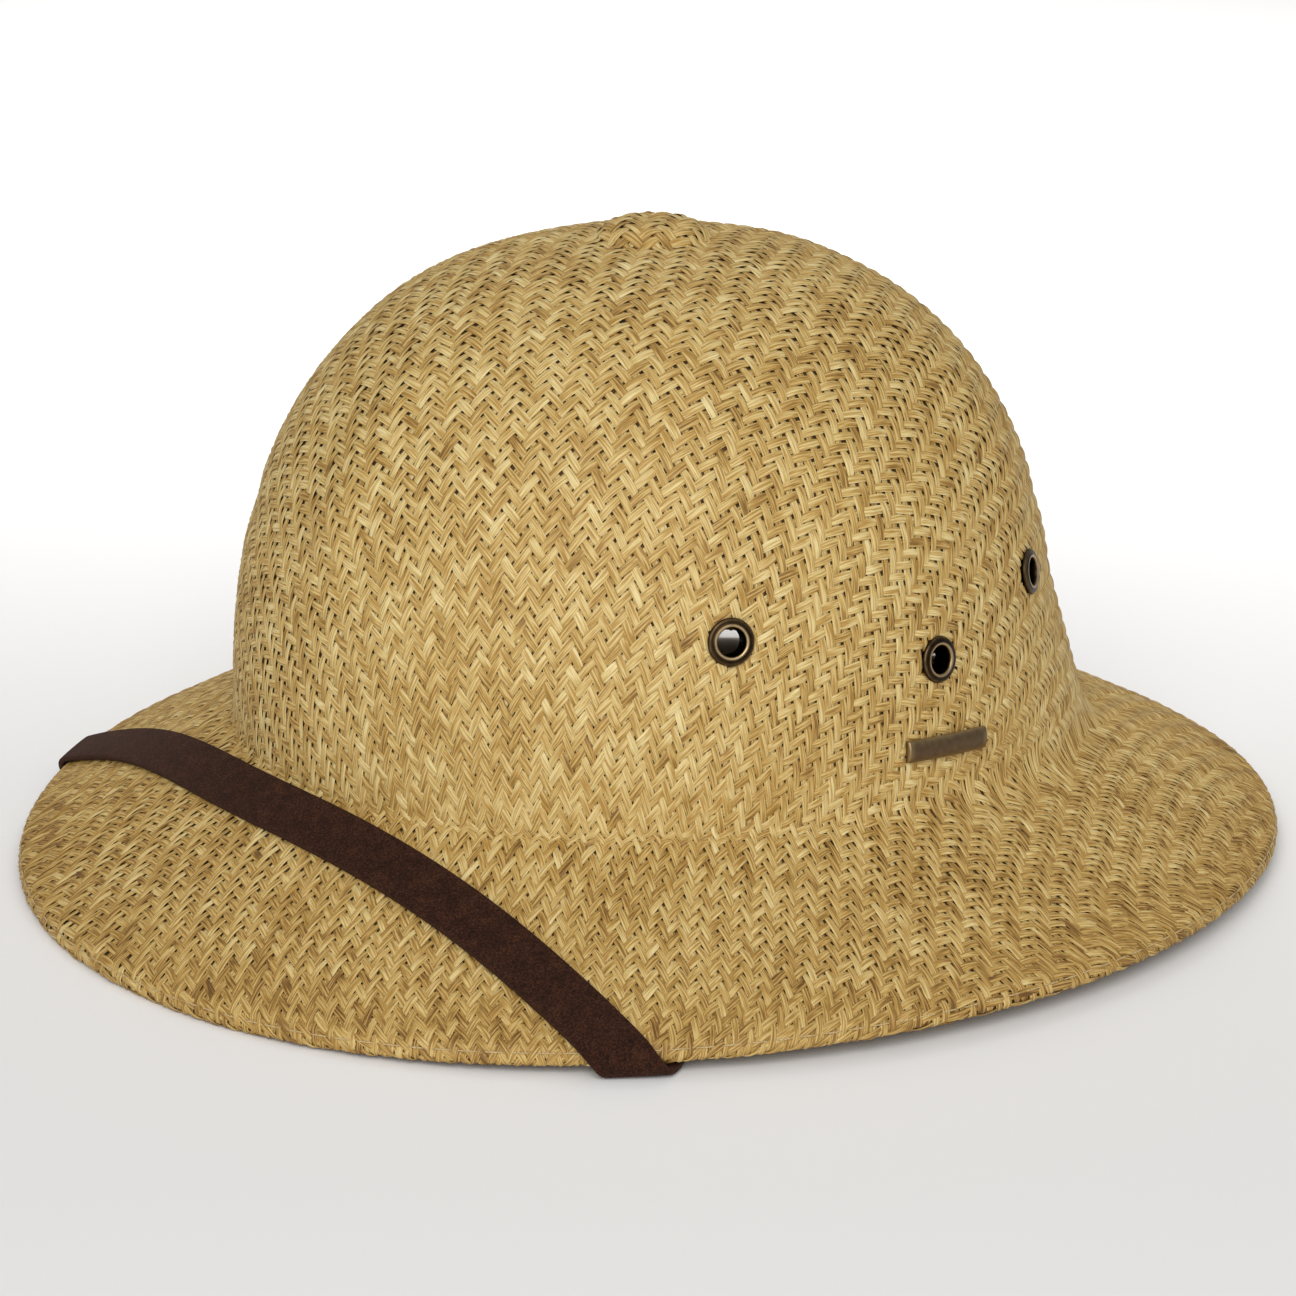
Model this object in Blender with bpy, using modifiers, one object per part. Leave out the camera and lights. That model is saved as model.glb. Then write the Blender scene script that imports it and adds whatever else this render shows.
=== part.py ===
"""Pith helmet of woven straw matting with a suede chin strap.

Metres, +Z up. The front of the helmet looks along -Y and the wearer's left is +X. The origin
is on the surface that the helmet stands on, under the middle of its brim.

The crown, the brim and the covered button are one pressed shell. It is described by one
section, from the button down the crown, round the crease, out along the brim and down the
turned lip, which is evaluated at every azimuth. Azimuth 0 is the front, and it grows towards
the wearer's left.
"""
import math

import bmesh
import bpy
from mathutils import Matrix, Vector

MM = 0.001

# Crown
CROWN_HALF_WIDTH = 98.0 * MM
CROWN_HALF_LENGTH = 106.5 * MM
CROWN_HEIGHT = 119.0 * MM
CROWN_FORWARD = 5.0 * MM
CROWN_WALL_POWER = 2.4
CROWN_TOP_POWER = 2.55

# The crown's foot swings out towards the back of the brim
FLARE_REACH = 9.0 * MM
FLARE_HEIGHT = 36.0 * MM
FLARE_POWER = 1.3
FLARE_FROM_DEG = 70.0
FLARE_FULL_DEG = 145.0

# Crease between crown and brim: nearly sharp at the front and soft at the back
CREASE_RADIUS_FRONT = 2.2 * MM
CREASE_RADIUS_BACK = 12.0 * MM
CREASE_SOFTENS_DEG = 60.0
CREASE_SOFT_DEG = 120.0
CREASE_RING_HEIGHT = 8.0 * MM

# Six soft ridges run down from the button, and a faint step rings the crown below them
RIDGE_COUNT = 6
RIDGE_HEIGHT = 1.3 * MM
RIDGE_WIDTH = 9.0 * MM
RIDGE_FADE_RADIUS = 28.0 * MM
STEP_HEIGHT = 54.0 * MM
STEP_DEPTH = 0.6 * MM
STEP_WIDTH = 5.0 * MM

# Covered button on top of the crown
BUTTON_RADIUS = 14.0 * MM
BUTTON_HEIGHT = 4.0 * MM
BUTTON_EDGE_POWER = 3.0

# Brim and its turned lip
BRIM_HALF_WIDTH = 150.0 * MM
BRIM_HALF_LENGTH = 167.0 * MM
BRIM_DROP_ENDS = 35.5 * MM
BRIM_DROP_SIDES = 30.9 * MM
LIP_HEIGHT = 4.2 * MM
LIP_RADIUS = 3.4 * MM
REST_SPAN_DEG = 15.0

WALL = 2.6 * MM
CLEARANCE = 0.3 * MM

# Vent eyelets
EYELET_FLANGE_RADIUS = 6.0 * MM
EYELET_BARREL_RADIUS = 4.4 * MM
EYELET_HOLE_RADIUS = 3.2 * MM
EYELET_FLANGE_RISE = 1.3 * MM
EYELET_BACK_GAP = 0.8 * MM
EYELET_BACK_THICKNESS = 0.65 * MM
EYELET_BACK_BEVEL = 0.4 * MM
# Columns: share of the way from the hole to the flange's edge, share of its rise
EYELET_FLANGE_ROLL = (
    (0.0, 0.4),
    (0.4, 1.0),
    (0.8, 0.8),
    (1.0, 0.0),
)
VENT_DRILL_LENGTH = 20.8 * MM
VENT_HEIGHT = 45.5 * MM
VENT_MIDDLE_DROP = 12.0 * MM
# Columns: name, azimuth in degrees, share of VENT_MIDDLE_DROP below VENT_HEIGHT
VENTS = (
    ("front", 61.7, 0.0),
    ("middle", 93.0, 1.0),
    ("back", 119.0, 0.18),
)

# Blank metal bar under the middle eyelet
BADGE_LENGTH = 26.2 * MM
BADGE_HEIGHT = 5.3 * MM
BADGE_THICKNESS = 1.8 * MM
BADGE_BEVEL = 0.5 * MM
BADGE_ABOVE_CREASE = 13.0 * MM
BADGE_AZIMUTH_DEG = 93.4
BADGE_TILT_DEG = 4.0

# Chin strap
STRAP_WIDTH = 13.5 * MM
STRAP_THICKNESS = 1.5 * MM
STRAP_GAP = 0.5 * MM
STRAP_SLACK = 0.2 * MM
# Columns: side, azimuth in degrees where it crosses the brim's edge, share of its way there over
# which it turns back from the crown's foot
STRAP_HALVES = (
    (1.0, 48.2, 0.60),
    (-1.0, 56.0, 0.70),
)
STRAP_END_AZIMUTH_DEG = 96.0
STRAP_LEAVE_AZIMUTH_DEG = 82.0
STRAP_END_HEIGHT = 16.0 * MM
STRAP_LEAVE_HEIGHT = -7.0 * MM
STRAP_WALL_HEIGHT = 10.0 * MM

# Mesh steps
AZIMUTH_STEPS = 72
CROWN_STEPS = 11
BUTTON_STEPS = 3
CREASE_STEPS = 3
BRIM_STEPS = 4
LIP_STEPS = 3
TURNED_STEPS = 16
BADGE_CUTS = 3
STRAP_TOP_STEPS = 8
STRAP_WRAP_STEPS = 22
STRAP_HIDDEN_STEPS = 5
STRAP_END_STEPS = 3
STRAP_ACROSS_STEPS = 6
WELD_DISTANCE = 0.01 * MM
HALVINGS = 40
HALVING_LOW = -0.5
HALVING_HIGH = 3.0
PROBE_TURN = 0.01
PROBE_CLIMB = 1.0 * MM
ACROSS_PLACES = [step / STRAP_ACROSS_STEPS - 0.5 for step in range(STRAP_ACROSS_STEPS + 1)]

CREASE_Z = BRIM_DROP_ENDS


def lerp(start, end, share):
    """Value between start and end."""
    return start + (end - start) * share


def bell(distance, width):
    """1 at no distance, falling smoothly to 0 over about twice the width."""
    return math.exp(-(distance / width) ** 2)


def ramp(value, low, high):
    """0 below low, 1 above high and a smooth rise between them."""
    share = min(max((value - low) / (high - low), 0.0), 1.0)
    return share * share * (3.0 - 2.0 * share)


def degrees_off_front(azimuth):
    """Angle away from the front, from 0 to 180 degrees on either side."""
    return abs(math.degrees(math.remainder(azimuth, 2.0 * math.pi)))


def crown_share(height):
    """Share of the crown's base radius at a height above the crease."""
    rise = min(max(height / CROWN_HEIGHT, 0.0), 1.0)
    return max(1.0 - rise ** CROWN_TOP_POWER, 0.0) ** (1.0 / CROWN_WALL_POWER)


def ridge_swell(azimuth, share, height):
    """How far the ridges and the step push the crown's wall out."""
    radius = CROWN_HALF_LENGTH * share
    spacing = 2.0 * math.pi / RIDGE_COUNT
    off_ridge = (azimuth + spacing / 2.0) % spacing - spacing / 2.0
    above_step = 1.0 / (1.0 + math.exp((STEP_HEIGHT - height) / STEP_WIDTH))
    fade_to_button = min(1.0, radius / RIDGE_FADE_RADIUS)
    ridge = RIDGE_HEIGHT * bell(off_ridge * radius, RIDGE_WIDTH) * above_step * fade_to_button
    return ridge - STEP_DEPTH * bell(height - STEP_HEIGHT, STEP_WIDTH)


def foot_flare(azimuth, height):
    """How far the crown's foot swings out from its upright wall."""
    reach = FLARE_REACH * ramp(degrees_off_front(azimuth), FLARE_FROM_DEG, FLARE_FULL_DEG)
    return reach * max(1.0 - height / FLARE_HEIGHT, 0.0) ** FLARE_POWER


def crown_point(azimuth, height):
    """Point on the outside of the crown at a height above the crease."""
    share = crown_share(height)
    grown = share + ridge_swell(azimuth, share, height) / CROWN_HALF_LENGTH
    flare = outward_plan(azimuth) * foot_flare(azimuth, height)
    return Vector((
        CROWN_HALF_WIDTH * grown * math.sin(azimuth) + flare.x,
        -CROWN_HALF_LENGTH * grown * math.cos(azimuth) - CROWN_FORWARD + flare.y,
        CREASE_Z + height,
    ))


def crown_normal(azimuth, height):
    """Outward normal of the crown, from its neighbours."""
    along = crown_point(azimuth + PROBE_TURN, height) - crown_point(azimuth - PROBE_TURN, height)
    up = crown_point(azimuth, height + PROBE_CLIMB) - crown_point(azimuth, height - PROBE_CLIMB)
    return along.cross(up).normalized()


def brim_plan(azimuth, share):
    """Plan position on the brim: share 0 is the crease and 1 is the edge."""
    return Vector((
        lerp(CROWN_HALF_WIDTH, BRIM_HALF_WIDTH, share) * math.sin(azimuth),
        -lerp(CROWN_HALF_LENGTH, BRIM_HALF_LENGTH, share) * math.cos(azimuth)
        - lerp(CROWN_FORWARD, 0.0, share),
    ))


def outward_plan(azimuth):
    """Level direction from the crease straight across the brim."""
    return (brim_plan(azimuth, 1.0) - brim_plan(azimuth, 0.0)).normalized()


def brim_reach(azimuth):
    """Plan distance from the crease to the edge."""
    return (brim_plan(azimuth, 1.0) - brim_plan(azimuth, 0.0)).length


def edge_height(azimuth):
    """Height of the lip's lower edge: level at front and back, raised at the sides."""
    rest = math.cos(math.radians(REST_SPAN_DEG)) ** 2
    towards_side = max(rest - math.cos(azimuth) ** 2, 0.0) / rest
    return (BRIM_DROP_ENDS - BRIM_DROP_SIDES) * towards_side


def brim_slope(azimuth):
    """Angle of the brim below the level."""
    fall = CREASE_Z - edge_height(azimuth) - LIP_HEIGHT
    return math.atan2(fall, brim_reach(azimuth))


def arc(centre, radius, start, end, steps):
    """Points (reach, height) on an arc, both ends included."""
    points = []
    for index in range(steps + 1):
        angle = lerp(start, end, index / steps)
        points.append((centre[0] + radius * math.cos(angle), centre[1] + radius * math.sin(angle)))
    return points


def crease_corner(azimuth):
    """Where the crown's wall would meet the brim (reach, height), and the wall's angle there."""
    fall_per_reach = math.tan(brim_slope(azimuth))
    start = foot_flare(azimuth, CREASE_RING_HEIGHT)
    lean = (foot_flare(azimuth, CREASE_RING_HEIGHT - PROBE_CLIMB) - start) / PROBE_CLIMB
    drop = (CREASE_RING_HEIGHT + start * fall_per_reach) / (1.0 - lean * fall_per_reach)
    corner = (start + lean * drop, CREASE_Z + CREASE_RING_HEIGHT - drop)
    return corner, math.atan2(1.0, lean)


def crease_arc(azimuth, steps):
    """The hollow round between the crown's wall and the brim."""
    corner, wall_angle = crease_corner(azimuth)
    slope = brim_slope(azimuth)
    softness = ramp(degrees_off_front(azimuth), CREASE_SOFTENS_DEG, CREASE_SOFT_DEG)
    radius = lerp(CREASE_RADIUS_FRONT, CREASE_RADIUS_BACK, softness)
    back_off = radius * math.tan((wall_angle - slope) / 2.0)
    centre = (
        corner[0] - back_off * math.cos(wall_angle) + radius * math.sin(wall_angle),
        corner[1] + back_off * math.sin(wall_angle) + radius * math.cos(wall_angle),
    )
    return arc(centre, radius, 1.5 * math.pi - wall_angle, 1.5 * math.pi - slope, steps)


def lip_centre(azimuth, slope):
    """Centre of the round between the brim and its lip."""
    reach = brim_reach(azimuth) - LIP_RADIUS
    return (reach, CREASE_Z - reach * math.tan(slope) - LIP_RADIUS / math.cos(slope))


def lip_arc(azimuth, slope, steps, offset=0.0):
    """The round between the brim and its lip, pushed out by an offset."""
    return arc(lip_centre(azimuth, slope), LIP_RADIUS + offset, math.pi / 2.0 - slope, 0.0, steps)


def at_reach(azimuth, reach, height):
    """Point in space from a plan distance outside the crease and a height."""
    plan = brim_plan(azimuth, reach / brim_reach(azimuth))
    return Vector((plan.x, plan.y, height))


def button_rise(radius):
    """Height of the covered button over the crown at a distance from its centre."""
    share = min(radius / BUTTON_RADIUS, 1.0)
    return BUTTON_HEIGHT * math.sqrt(max(1.0 - share ** BUTTON_EDGE_POWER, 0.0))


def crown_heights():
    """Heights of the crown's rings, from the button's foot down to the crease's round."""
    foot_share = BUTTON_RADIUS / CROWN_HALF_LENGTH
    foot = CROWN_HEIGHT * (1.0 - foot_share ** CROWN_WALL_POWER) ** (1.0 / CROWN_TOP_POWER)
    top_angle = math.asin(foot / CROWN_HEIGHT)
    low_angle = math.asin(CREASE_RING_HEIGHT / CROWN_HEIGHT)
    return [
        CROWN_HEIGHT * math.sin(lerp(top_angle, low_angle, index / CROWN_STEPS))
        for index in range(CROWN_STEPS + 1)
    ]


def button_ring(azimuth, share):
    """Point on the covered button, at a share of its radius."""
    foot_height = crown_heights()[0]
    top_height = lerp(CROWN_HEIGHT, foot_height, share ** CROWN_WALL_POWER)
    rim = crown_point(azimuth, foot_height)
    return Vector((
        rim.x * share,
        lerp(-CROWN_FORWARD, rim.y, share),
        CREASE_Z + top_height + button_rise(BUTTON_RADIUS * share),
    ))


def shell_section(azimuth):
    """The outside of the shell at one azimuth, from the top to the lip's lower edge."""
    slope = brim_slope(azimuth)
    points = [button_ring(azimuth, (index / BUTTON_STEPS) ** 0.5) for index in range(BUTTON_STEPS)]
    points += [crown_point(azimuth, height) for height in crown_heights()]
    crease = crease_arc(azimuth, CREASE_STEPS)
    lip = lip_arc(azimuth, slope, LIP_STEPS)
    for index in range(1, BRIM_STEPS):
        share = index / BRIM_STEPS
        crease.append((
            lerp(crease[CREASE_STEPS][0], lip[0][0], share),
            lerp(crease[CREASE_STEPS][1], lip[0][1], share),
        ))
    lip.append((brim_reach(azimuth), edge_height(azimuth)))
    points += [at_reach(azimuth, reach, height) for reach, height in crease + lip]
    return points


def grid_surface(name, rows, columns, place, closed):
    """Mesh object from a grid whose points are placed by a function of two shares."""
    shape = bmesh.new()
    bmesh.ops.create_grid(shape, x_segments=columns, y_segments=rows, size=0.5)
    for vertex in shape.verts:
        vertex.co = place(vertex.co.x + 0.5, vertex.co.y + 0.5)
    if closed:
        bmesh.ops.remove_doubles(shape, verts=shape.verts, dist=WELD_DISTANCE)
    return add_object(name, shape)


def add_object(name, shape):
    """Object with the finished mesh, in the helmet's collection."""
    mesh = bpy.data.meshes.new(name)
    shape.to_mesh(mesh)
    shape.free()
    piece = bpy.data.objects.new(name, mesh)
    HELMET.objects.link(piece)
    return piece


def add_material(piece, name, colour, roughness, metallic):
    """Give a piece its own Principled BSDF."""
    material = bpy.data.materials.new(name)
    material.use_nodes = True
    shader = material.node_tree.nodes["Principled BSDF"]
    shader.inputs["Base Color"].default_value = (*colour, 1.0)
    shader.inputs["Roughness"].default_value = roughness
    shader.inputs["Metallic"].default_value = metallic
    piece.data.materials.append(material)


def shade_round(piece, sharp_deg=35.0):
    """Smooth shading with sharp edges kept."""
    piece.data.shade_smooth()
    piece.data.set_sharp_from_angle(angle=math.radians(sharp_deg))


def build_shell():
    """Crown, brim, lip and covered button as one pressed shell."""
    sections = {}
    section_rows = len(shell_section(0.0)) - 1

    def place(across, down):
        column = round(across * AZIMUTH_STEPS) % AZIMUTH_STEPS
        if column not in sections:
            sections[column] = shell_section(2.0 * math.pi * column / AZIMUTH_STEPS)
        return sections[column][round((1.0 - down) * section_rows)]

    shell = grid_surface("helmet_shell", section_rows, AZIMUTH_STEPS, place, closed=True)
    wall = shell.modifiers.new("wall", "SOLIDIFY")
    wall.thickness = WALL
    wall.offset = -1.0
    wall.use_even_offset = True
    for _, azimuth, height in vent_places():
        cutter = vent_cutter(azimuth, height)
        hole = shell.modifiers.new("vent", "BOOLEAN")
        hole.operation = "DIFFERENCE"
        hole.solver = "EXACT"
        hole.object = cutter
    shade_round(shell)
    add_material(shell, "straw matting", (0.52, 0.36, 0.15), 0.75, 0.0)
    return shell


def vent_places():
    """Name, azimuth and height of every eyelet, on the wearer's left and then on the right."""
    places = []
    for side_name, side in (("left", 1.0), ("right", -1.0)):
        for vent_name, azimuth_deg, dropped in VENTS:
            height = VENT_HEIGHT - VENT_MIDDLE_DROP * dropped
            places.append((f"{side_name}_{vent_name}", side * math.radians(azimuth_deg), height))
    return places


def wall_frame(azimuth, height, turn=0.0):
    """Matrix on the crown's wall: local Z out of the wall, local X level along it."""
    normal = crown_normal(azimuth, height)
    level = Vector((0.0, 0.0, 1.0)).cross(normal).normalized()
    up = normal.cross(level)
    axes = Matrix((level, up, normal)).transposed().to_4x4()
    return Matrix.Translation(crown_point(azimuth, height)) @ axes @ Matrix.Rotation(turn, 4, "Z")


def vent_cutter(azimuth, height):
    """Plain drill for one vent hole."""
    radius = EYELET_BARREL_RADIUS + CLEARANCE
    shape = bmesh.new()
    bmesh.ops.create_cone(shape, cap_ends=True, segments=TURNED_STEPS, radius1=radius, radius2=radius,
                          depth=VENT_DRILL_LENGTH)
    mesh = bpy.data.meshes.new("vent_drill")
    shape.to_mesh(mesh)
    shape.free()
    cutter = bpy.data.objects.new("vent_drill", mesh)
    cutter.matrix_world = wall_frame(azimuth, height)
    cutter.hide_render = True
    cutter.display_type = "WIRE"
    CUTTERS.objects.link(cutter)
    return cutter


def eyelet_profile():
    """Closed profile (radius, height over the wall) of a set eyelet, down its outer side."""
    back = -WALL - EYELET_BACK_GAP
    roll = [
        (lerp(EYELET_HOLE_RADIUS, EYELET_FLANGE_RADIUS, outward), CLEARANCE + EYELET_FLANGE_RISE * raised)
        for outward, raised in EYELET_FLANGE_ROLL
    ]
    return roll + [
        (EYELET_BARREL_RADIUS, CLEARANCE),
        (EYELET_BARREL_RADIUS, back),
        (EYELET_FLANGE_RADIUS, back),
        (EYELET_FLANGE_RADIUS - EYELET_BACK_BEVEL, back - EYELET_BACK_THICKNESS),
        (EYELET_HOLE_RADIUS, back - EYELET_BACK_THICKNESS),
    ]


def build_eyelet(place_name, azimuth, height):
    """One metal eyelet, turned about its own axis and set through the crown's wall."""
    shape = bmesh.new()
    ring = [shape.verts.new((radius, 0.0, rise)) for radius, rise in eyelet_profile()]
    edges = [shape.edges.new((ring[index - 1], ring[index])) for index in range(len(ring))]
    bmesh.ops.spin(shape, geom=ring + edges, cent=(0, 0, 0), axis=(0, 0, 1), angle=2.0 * math.pi,
                   steps=TURNED_STEPS, use_merge=True, use_duplicate=False)
    bmesh.ops.recalc_face_normals(shape, faces=shape.faces)
    shape.transform(wall_frame(azimuth, height))
    name = f"vent_eyelet_{place_name}"
    eyelet = add_object(name, shape)
    shade_round(eyelet)
    add_material(eyelet, name + " antique brass", (0.22, 0.16, 0.08), 0.35, 1.0)


def build_badge():
    """Blank metal bar on the wearer's left, under the middle eyelet."""
    azimuth = math.radians(BADGE_AZIMUTH_DEG)
    shape = bmesh.new()
    bmesh.ops.create_cube(shape, size=1.0)
    bmesh.ops.scale(shape, vec=(BADGE_LENGTH, BADGE_HEIGHT, BADGE_THICKNESS), verts=shape.verts)
    lengthwise = [edge for edge in shape.edges if is_lengthwise(edge)]
    bmesh.ops.subdivide_edges(shape, edges=lengthwise, cuts=BADGE_CUTS, use_grid_fill=True)
    bow_to_wall(shape)
    shape.transform(wall_frame(azimuth, BADGE_ABOVE_CREASE, -math.radians(BADGE_TILT_DEG)))
    badge = add_object("badge_bar", shape)
    rounded = badge.modifiers.new("rounded", "BEVEL")
    rounded.width = BADGE_BEVEL
    rounded.segments = 1
    add_material(badge, "badge antique brass", (0.30, 0.23, 0.12), 0.4, 1.0)


def is_lengthwise(edge):
    """True for an edge of the bar that runs along its length."""
    return abs(edge.verts[0].co.x - edge.verts[1].co.x) > BADGE_LENGTH / 2.0


def bow_to_wall(shape):
    """Bend the bar to the crown's curve and lift its back off the wall."""
    lift = CLEARANCE + BADGE_THICKNESS / 2.0
    for vertex in shape.verts:
        vertex.co.z += lift - vertex.co.x ** 2 / (2.0 * CROWN_HALF_LENGTH)


def strap_lift():
    """Distance from the shell's skin to the middle of the strap's thickness."""
    return STRAP_GAP + STRAP_THICKNESS / 2.0


def strap_plan(along, across, edge, bend_span):
    """Plan position of the strap as if the brim went on level past its edge."""
    slope = brim_slope(0.0)
    crease_reach = crease_arc(0.0, CREASE_STEPS)[-1][0]
    flat_half = STRAP_WIDTH / 2.0 * math.cos(slope)
    front = -(CROWN_FORWARD + CROWN_HALF_LENGTH + crease_reach + CLEARANCE + flat_half)
    bend = bell(along, bend_span)
    lean = -2.0 * along / bend_span ** 2 * bend * (front - edge.y)
    tangent = Vector((1.0, lean)).normalized()
    inward = Vector((-tangent.y, tangent.x))
    middle = Vector((along, lerp(edge.y, front, bend)))
    downhill = middle.normalized()
    foreshortened = inward - downhill * inward.dot(downhill) * (1.0 - math.cos(slope))
    return middle + foreshortened * (across * STRAP_WIDTH)


def on_brim(plan):
    """Azimuth and share of the brim's width under a plan position, by halving."""
    low = HALVING_LOW
    high = HALVING_HIGH
    for _ in range(HALVINGS):
        share = (low + high) / 2.0
        half_width = lerp(CROWN_HALF_WIDTH, BRIM_HALF_WIDTH, share)
        half_length = lerp(CROWN_HALF_LENGTH, BRIM_HALF_LENGTH, share)
        from_centre = Vector((plan.x / half_width,
                              -(plan.y + lerp(CROWN_FORWARD, 0.0, share)) / half_length))
        if from_centre.length > 1.0:
            low = share
        else:
            high = share
    return math.atan2(from_centre.x, from_centre.y), share


def wrap_path(azimuth):
    """Path (reach, height) of the strap's middle over the lip and under it, towards the crown."""
    slope = brim_slope(azimuth)
    lift = strap_lift()
    reach = brim_reach(azimuth)
    bottom = edge_height(azimuth)
    path = [(lift * math.sin(slope), CREASE_Z + lift * math.cos(slope))]
    path += lip_arc(azimuth, slope, LIP_STEPS * 2, lift)
    slack = lift + STRAP_SLACK
    path += arc((reach, bottom), slack, 0.0, -math.pi / 2.0, LIP_STEPS * 2)
    path += arc((reach - WALL, bottom), slack, -math.pi / 2.0, -math.pi / 2.0 - slope, LIP_STEPS)
    path.append((path[-1][0] - reach * math.cos(slope), path[-1][1] + reach * math.sin(slope)))
    return path


def along_path(path, distance):
    """Point at a distance along a path of (reach, height) points."""
    for start, end in zip(path, path[1:]):
        length = math.dist(start, end)
        if distance <= length:
            share = distance / length
            return lerp(start[0], end[0], share), lerp(start[1], end[1], share)
        distance -= length
    return path[-1]


def strap_point(along, across, edge, bend_span):
    """Point in the middle of the strap's thickness, on the brim and round its lip."""
    azimuth, share = on_brim(strap_plan(along, across, edge, bend_span))
    travelled = share * brim_reach(azimuth) / math.cos(brim_slope(azimuth))
    reach, height = along_path(wrap_path(azimuth), travelled)
    return at_reach(azimuth, reach, height)


def inner_wall_point(azimuth, height):
    """Point of the strap's middle against the inside of the crown."""
    outside = crown_point(azimuth, max(height, 0.0))
    below_crease = Vector((0.0, 0.0, min(height, 0.0)))
    return outside + below_crease - crown_normal(azimuth, STRAP_WALL_HEIGHT) * (WALL + strap_lift())


def strap_end_line(share, across):
    """Point of the strap on the crown's inner wall: share 0 leaves the wall, 1 is the end."""
    azimuth = math.radians(lerp(STRAP_LEAVE_AZIMUTH_DEG, STRAP_END_AZIMUTH_DEG, share))
    height = lerp(STRAP_LEAVE_HEIGHT, STRAP_END_HEIGHT, share)
    run = math.radians(STRAP_END_AZIMUTH_DEG - STRAP_LEAVE_AZIMUTH_DEG) * CROWN_HALF_LENGTH
    climb = STRAP_END_HEIGHT - STRAP_LEAVE_HEIGHT
    pitch = math.atan2(climb, run)
    offset = across * STRAP_WIDTH
    azimuth -= offset * math.sin(pitch) / CROWN_HALF_LENGTH
    return inner_wall_point(azimuth, height + offset * math.cos(pitch))


def strap_span(share, start_rows, end_rows):
    """Row across the free span from the lip to the inner wall, in line with both its ends."""
    middle = STRAP_ACROSS_STEPS // 2
    before, start = start_rows[0][middle], start_rows[1][middle]
    end, after = end_rows[0][middle], end_rows[1][middle]
    length = (end - start).length
    leave = (start - before).normalized() * length
    arrive = (after - end).normalized() * length
    squared = share * share
    cubed = squared * share
    centre = (start * (2 * cubed - 3 * squared + 1) + leave * (cubed - 2 * squared + share)
              + end * (3 * squared - 2 * cubed) + arrive * (cubed - squared))
    first = (start_rows[1][-1] - start_rows[1][0]).normalized()
    last = (end_rows[0][-1] - end_rows[0][0]).normalized()
    across = first.slerp(last, share * share * (3.0 - 2.0 * share))
    return [centre + across * (STRAP_WIDTH * place) for place in ACROSS_PLACES]


def strap_rows(edge_azimuth, bend_share):
    """Rows of points across half of the strap, from the middle of the front to its left end."""
    edge = brim_plan(edge_azimuth, 1.0)
    slope = brim_slope(edge_azimuth)
    bend_span = edge.x * bend_share
    skew = STRAP_WIDTH
    girth = LIP_HEIGHT + WALL + math.pi * strap_lift()
    wrap_start = edge.x - skew
    wrap_end = edge.x + (girth + skew) * math.cos(slope)
    rows = []
    places = [wrap_start * index / STRAP_TOP_STEPS for index in range(STRAP_TOP_STEPS)]
    places += [lerp(wrap_start, wrap_end, index / STRAP_WRAP_STEPS) for index in range(STRAP_WRAP_STEPS + 1)]
    for along in places:
        rows.append([strap_point(along, across, edge, bend_span) for across in ACROSS_PLACES])
    end_rows = [
        [strap_end_line(index / STRAP_END_STEPS, -across) for across in ACROSS_PLACES]
        for index in range(STRAP_END_STEPS + 1)
    ]
    start_rows = rows[-2:]
    for index in range(1, STRAP_HIDDEN_STEPS):
        rows.append(strap_span(index / STRAP_HIDDEN_STEPS, start_rows, end_rows))
    return rows + end_rows


def build_strap():
    """Suede chin strap: its two halves as one strip, which is then thickened."""
    halves = []
    for side, edge_deg, bend_share in STRAP_HALVES:
        half = strap_rows(math.radians(edge_deg), bend_share)
        halves.append([[Vector((side * point.x, point.y, point.z)) for point in row] for row in half])
    left_half, right_half = halves
    rows = right_half[:0:-1] + left_half
    last = len(rows) - 1

    def place(along, across):
        return rows[round(along * last)][round(across * STRAP_ACROSS_STEPS)]

    strap = grid_surface("chin_strap", STRAP_ACROSS_STEPS, last, place, closed=False)
    leather = strap.modifiers.new("leather", "SOLIDIFY")
    leather.thickness = STRAP_THICKNESS
    leather.offset = 0.0
    shade_round(strap, 60.0)
    add_material(strap, "brown suede", (0.05, 0.02, 0.012), 0.95, 0.0)


def start_collection(name):
    """New collection in the scene."""
    collection = bpy.data.collections.new(name)
    bpy.context.scene.collection.children.link(collection)
    return collection


for leftover in list(bpy.data.objects):
    bpy.data.objects.remove(leftover, do_unlink=True)
HELMET = start_collection("pith_helmet")
CUTTERS = start_collection("cutters")
build_shell()
for place_name, azimuth, height in vent_places():
    build_eyelet(place_name, azimuth, height)
build_badge()
build_strap()
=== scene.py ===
"""Visual model of a woven straw pith helmet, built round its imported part.

The helmet is one sheet of straw matting pressed over a form. The script works out how the
matting drapes, lays every straw strand of its two by two twill along that drape, and adds the
stiff backing, the hem stitches, the suede chin strap, the vent eyelets and the blank metal bar.

Metres, +Z up. The front looks along -Y and the wearer's left is +X. Azimuth 0 is the front, and
it grows towards the wearer's left.
"""
import logging
import math
from dataclasses import dataclass
from enum import Enum
from typing import Iterator, Optional, Sequence

import bmesh
import bpy
import numpy as np
from mathutils import Matrix, Vector

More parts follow.
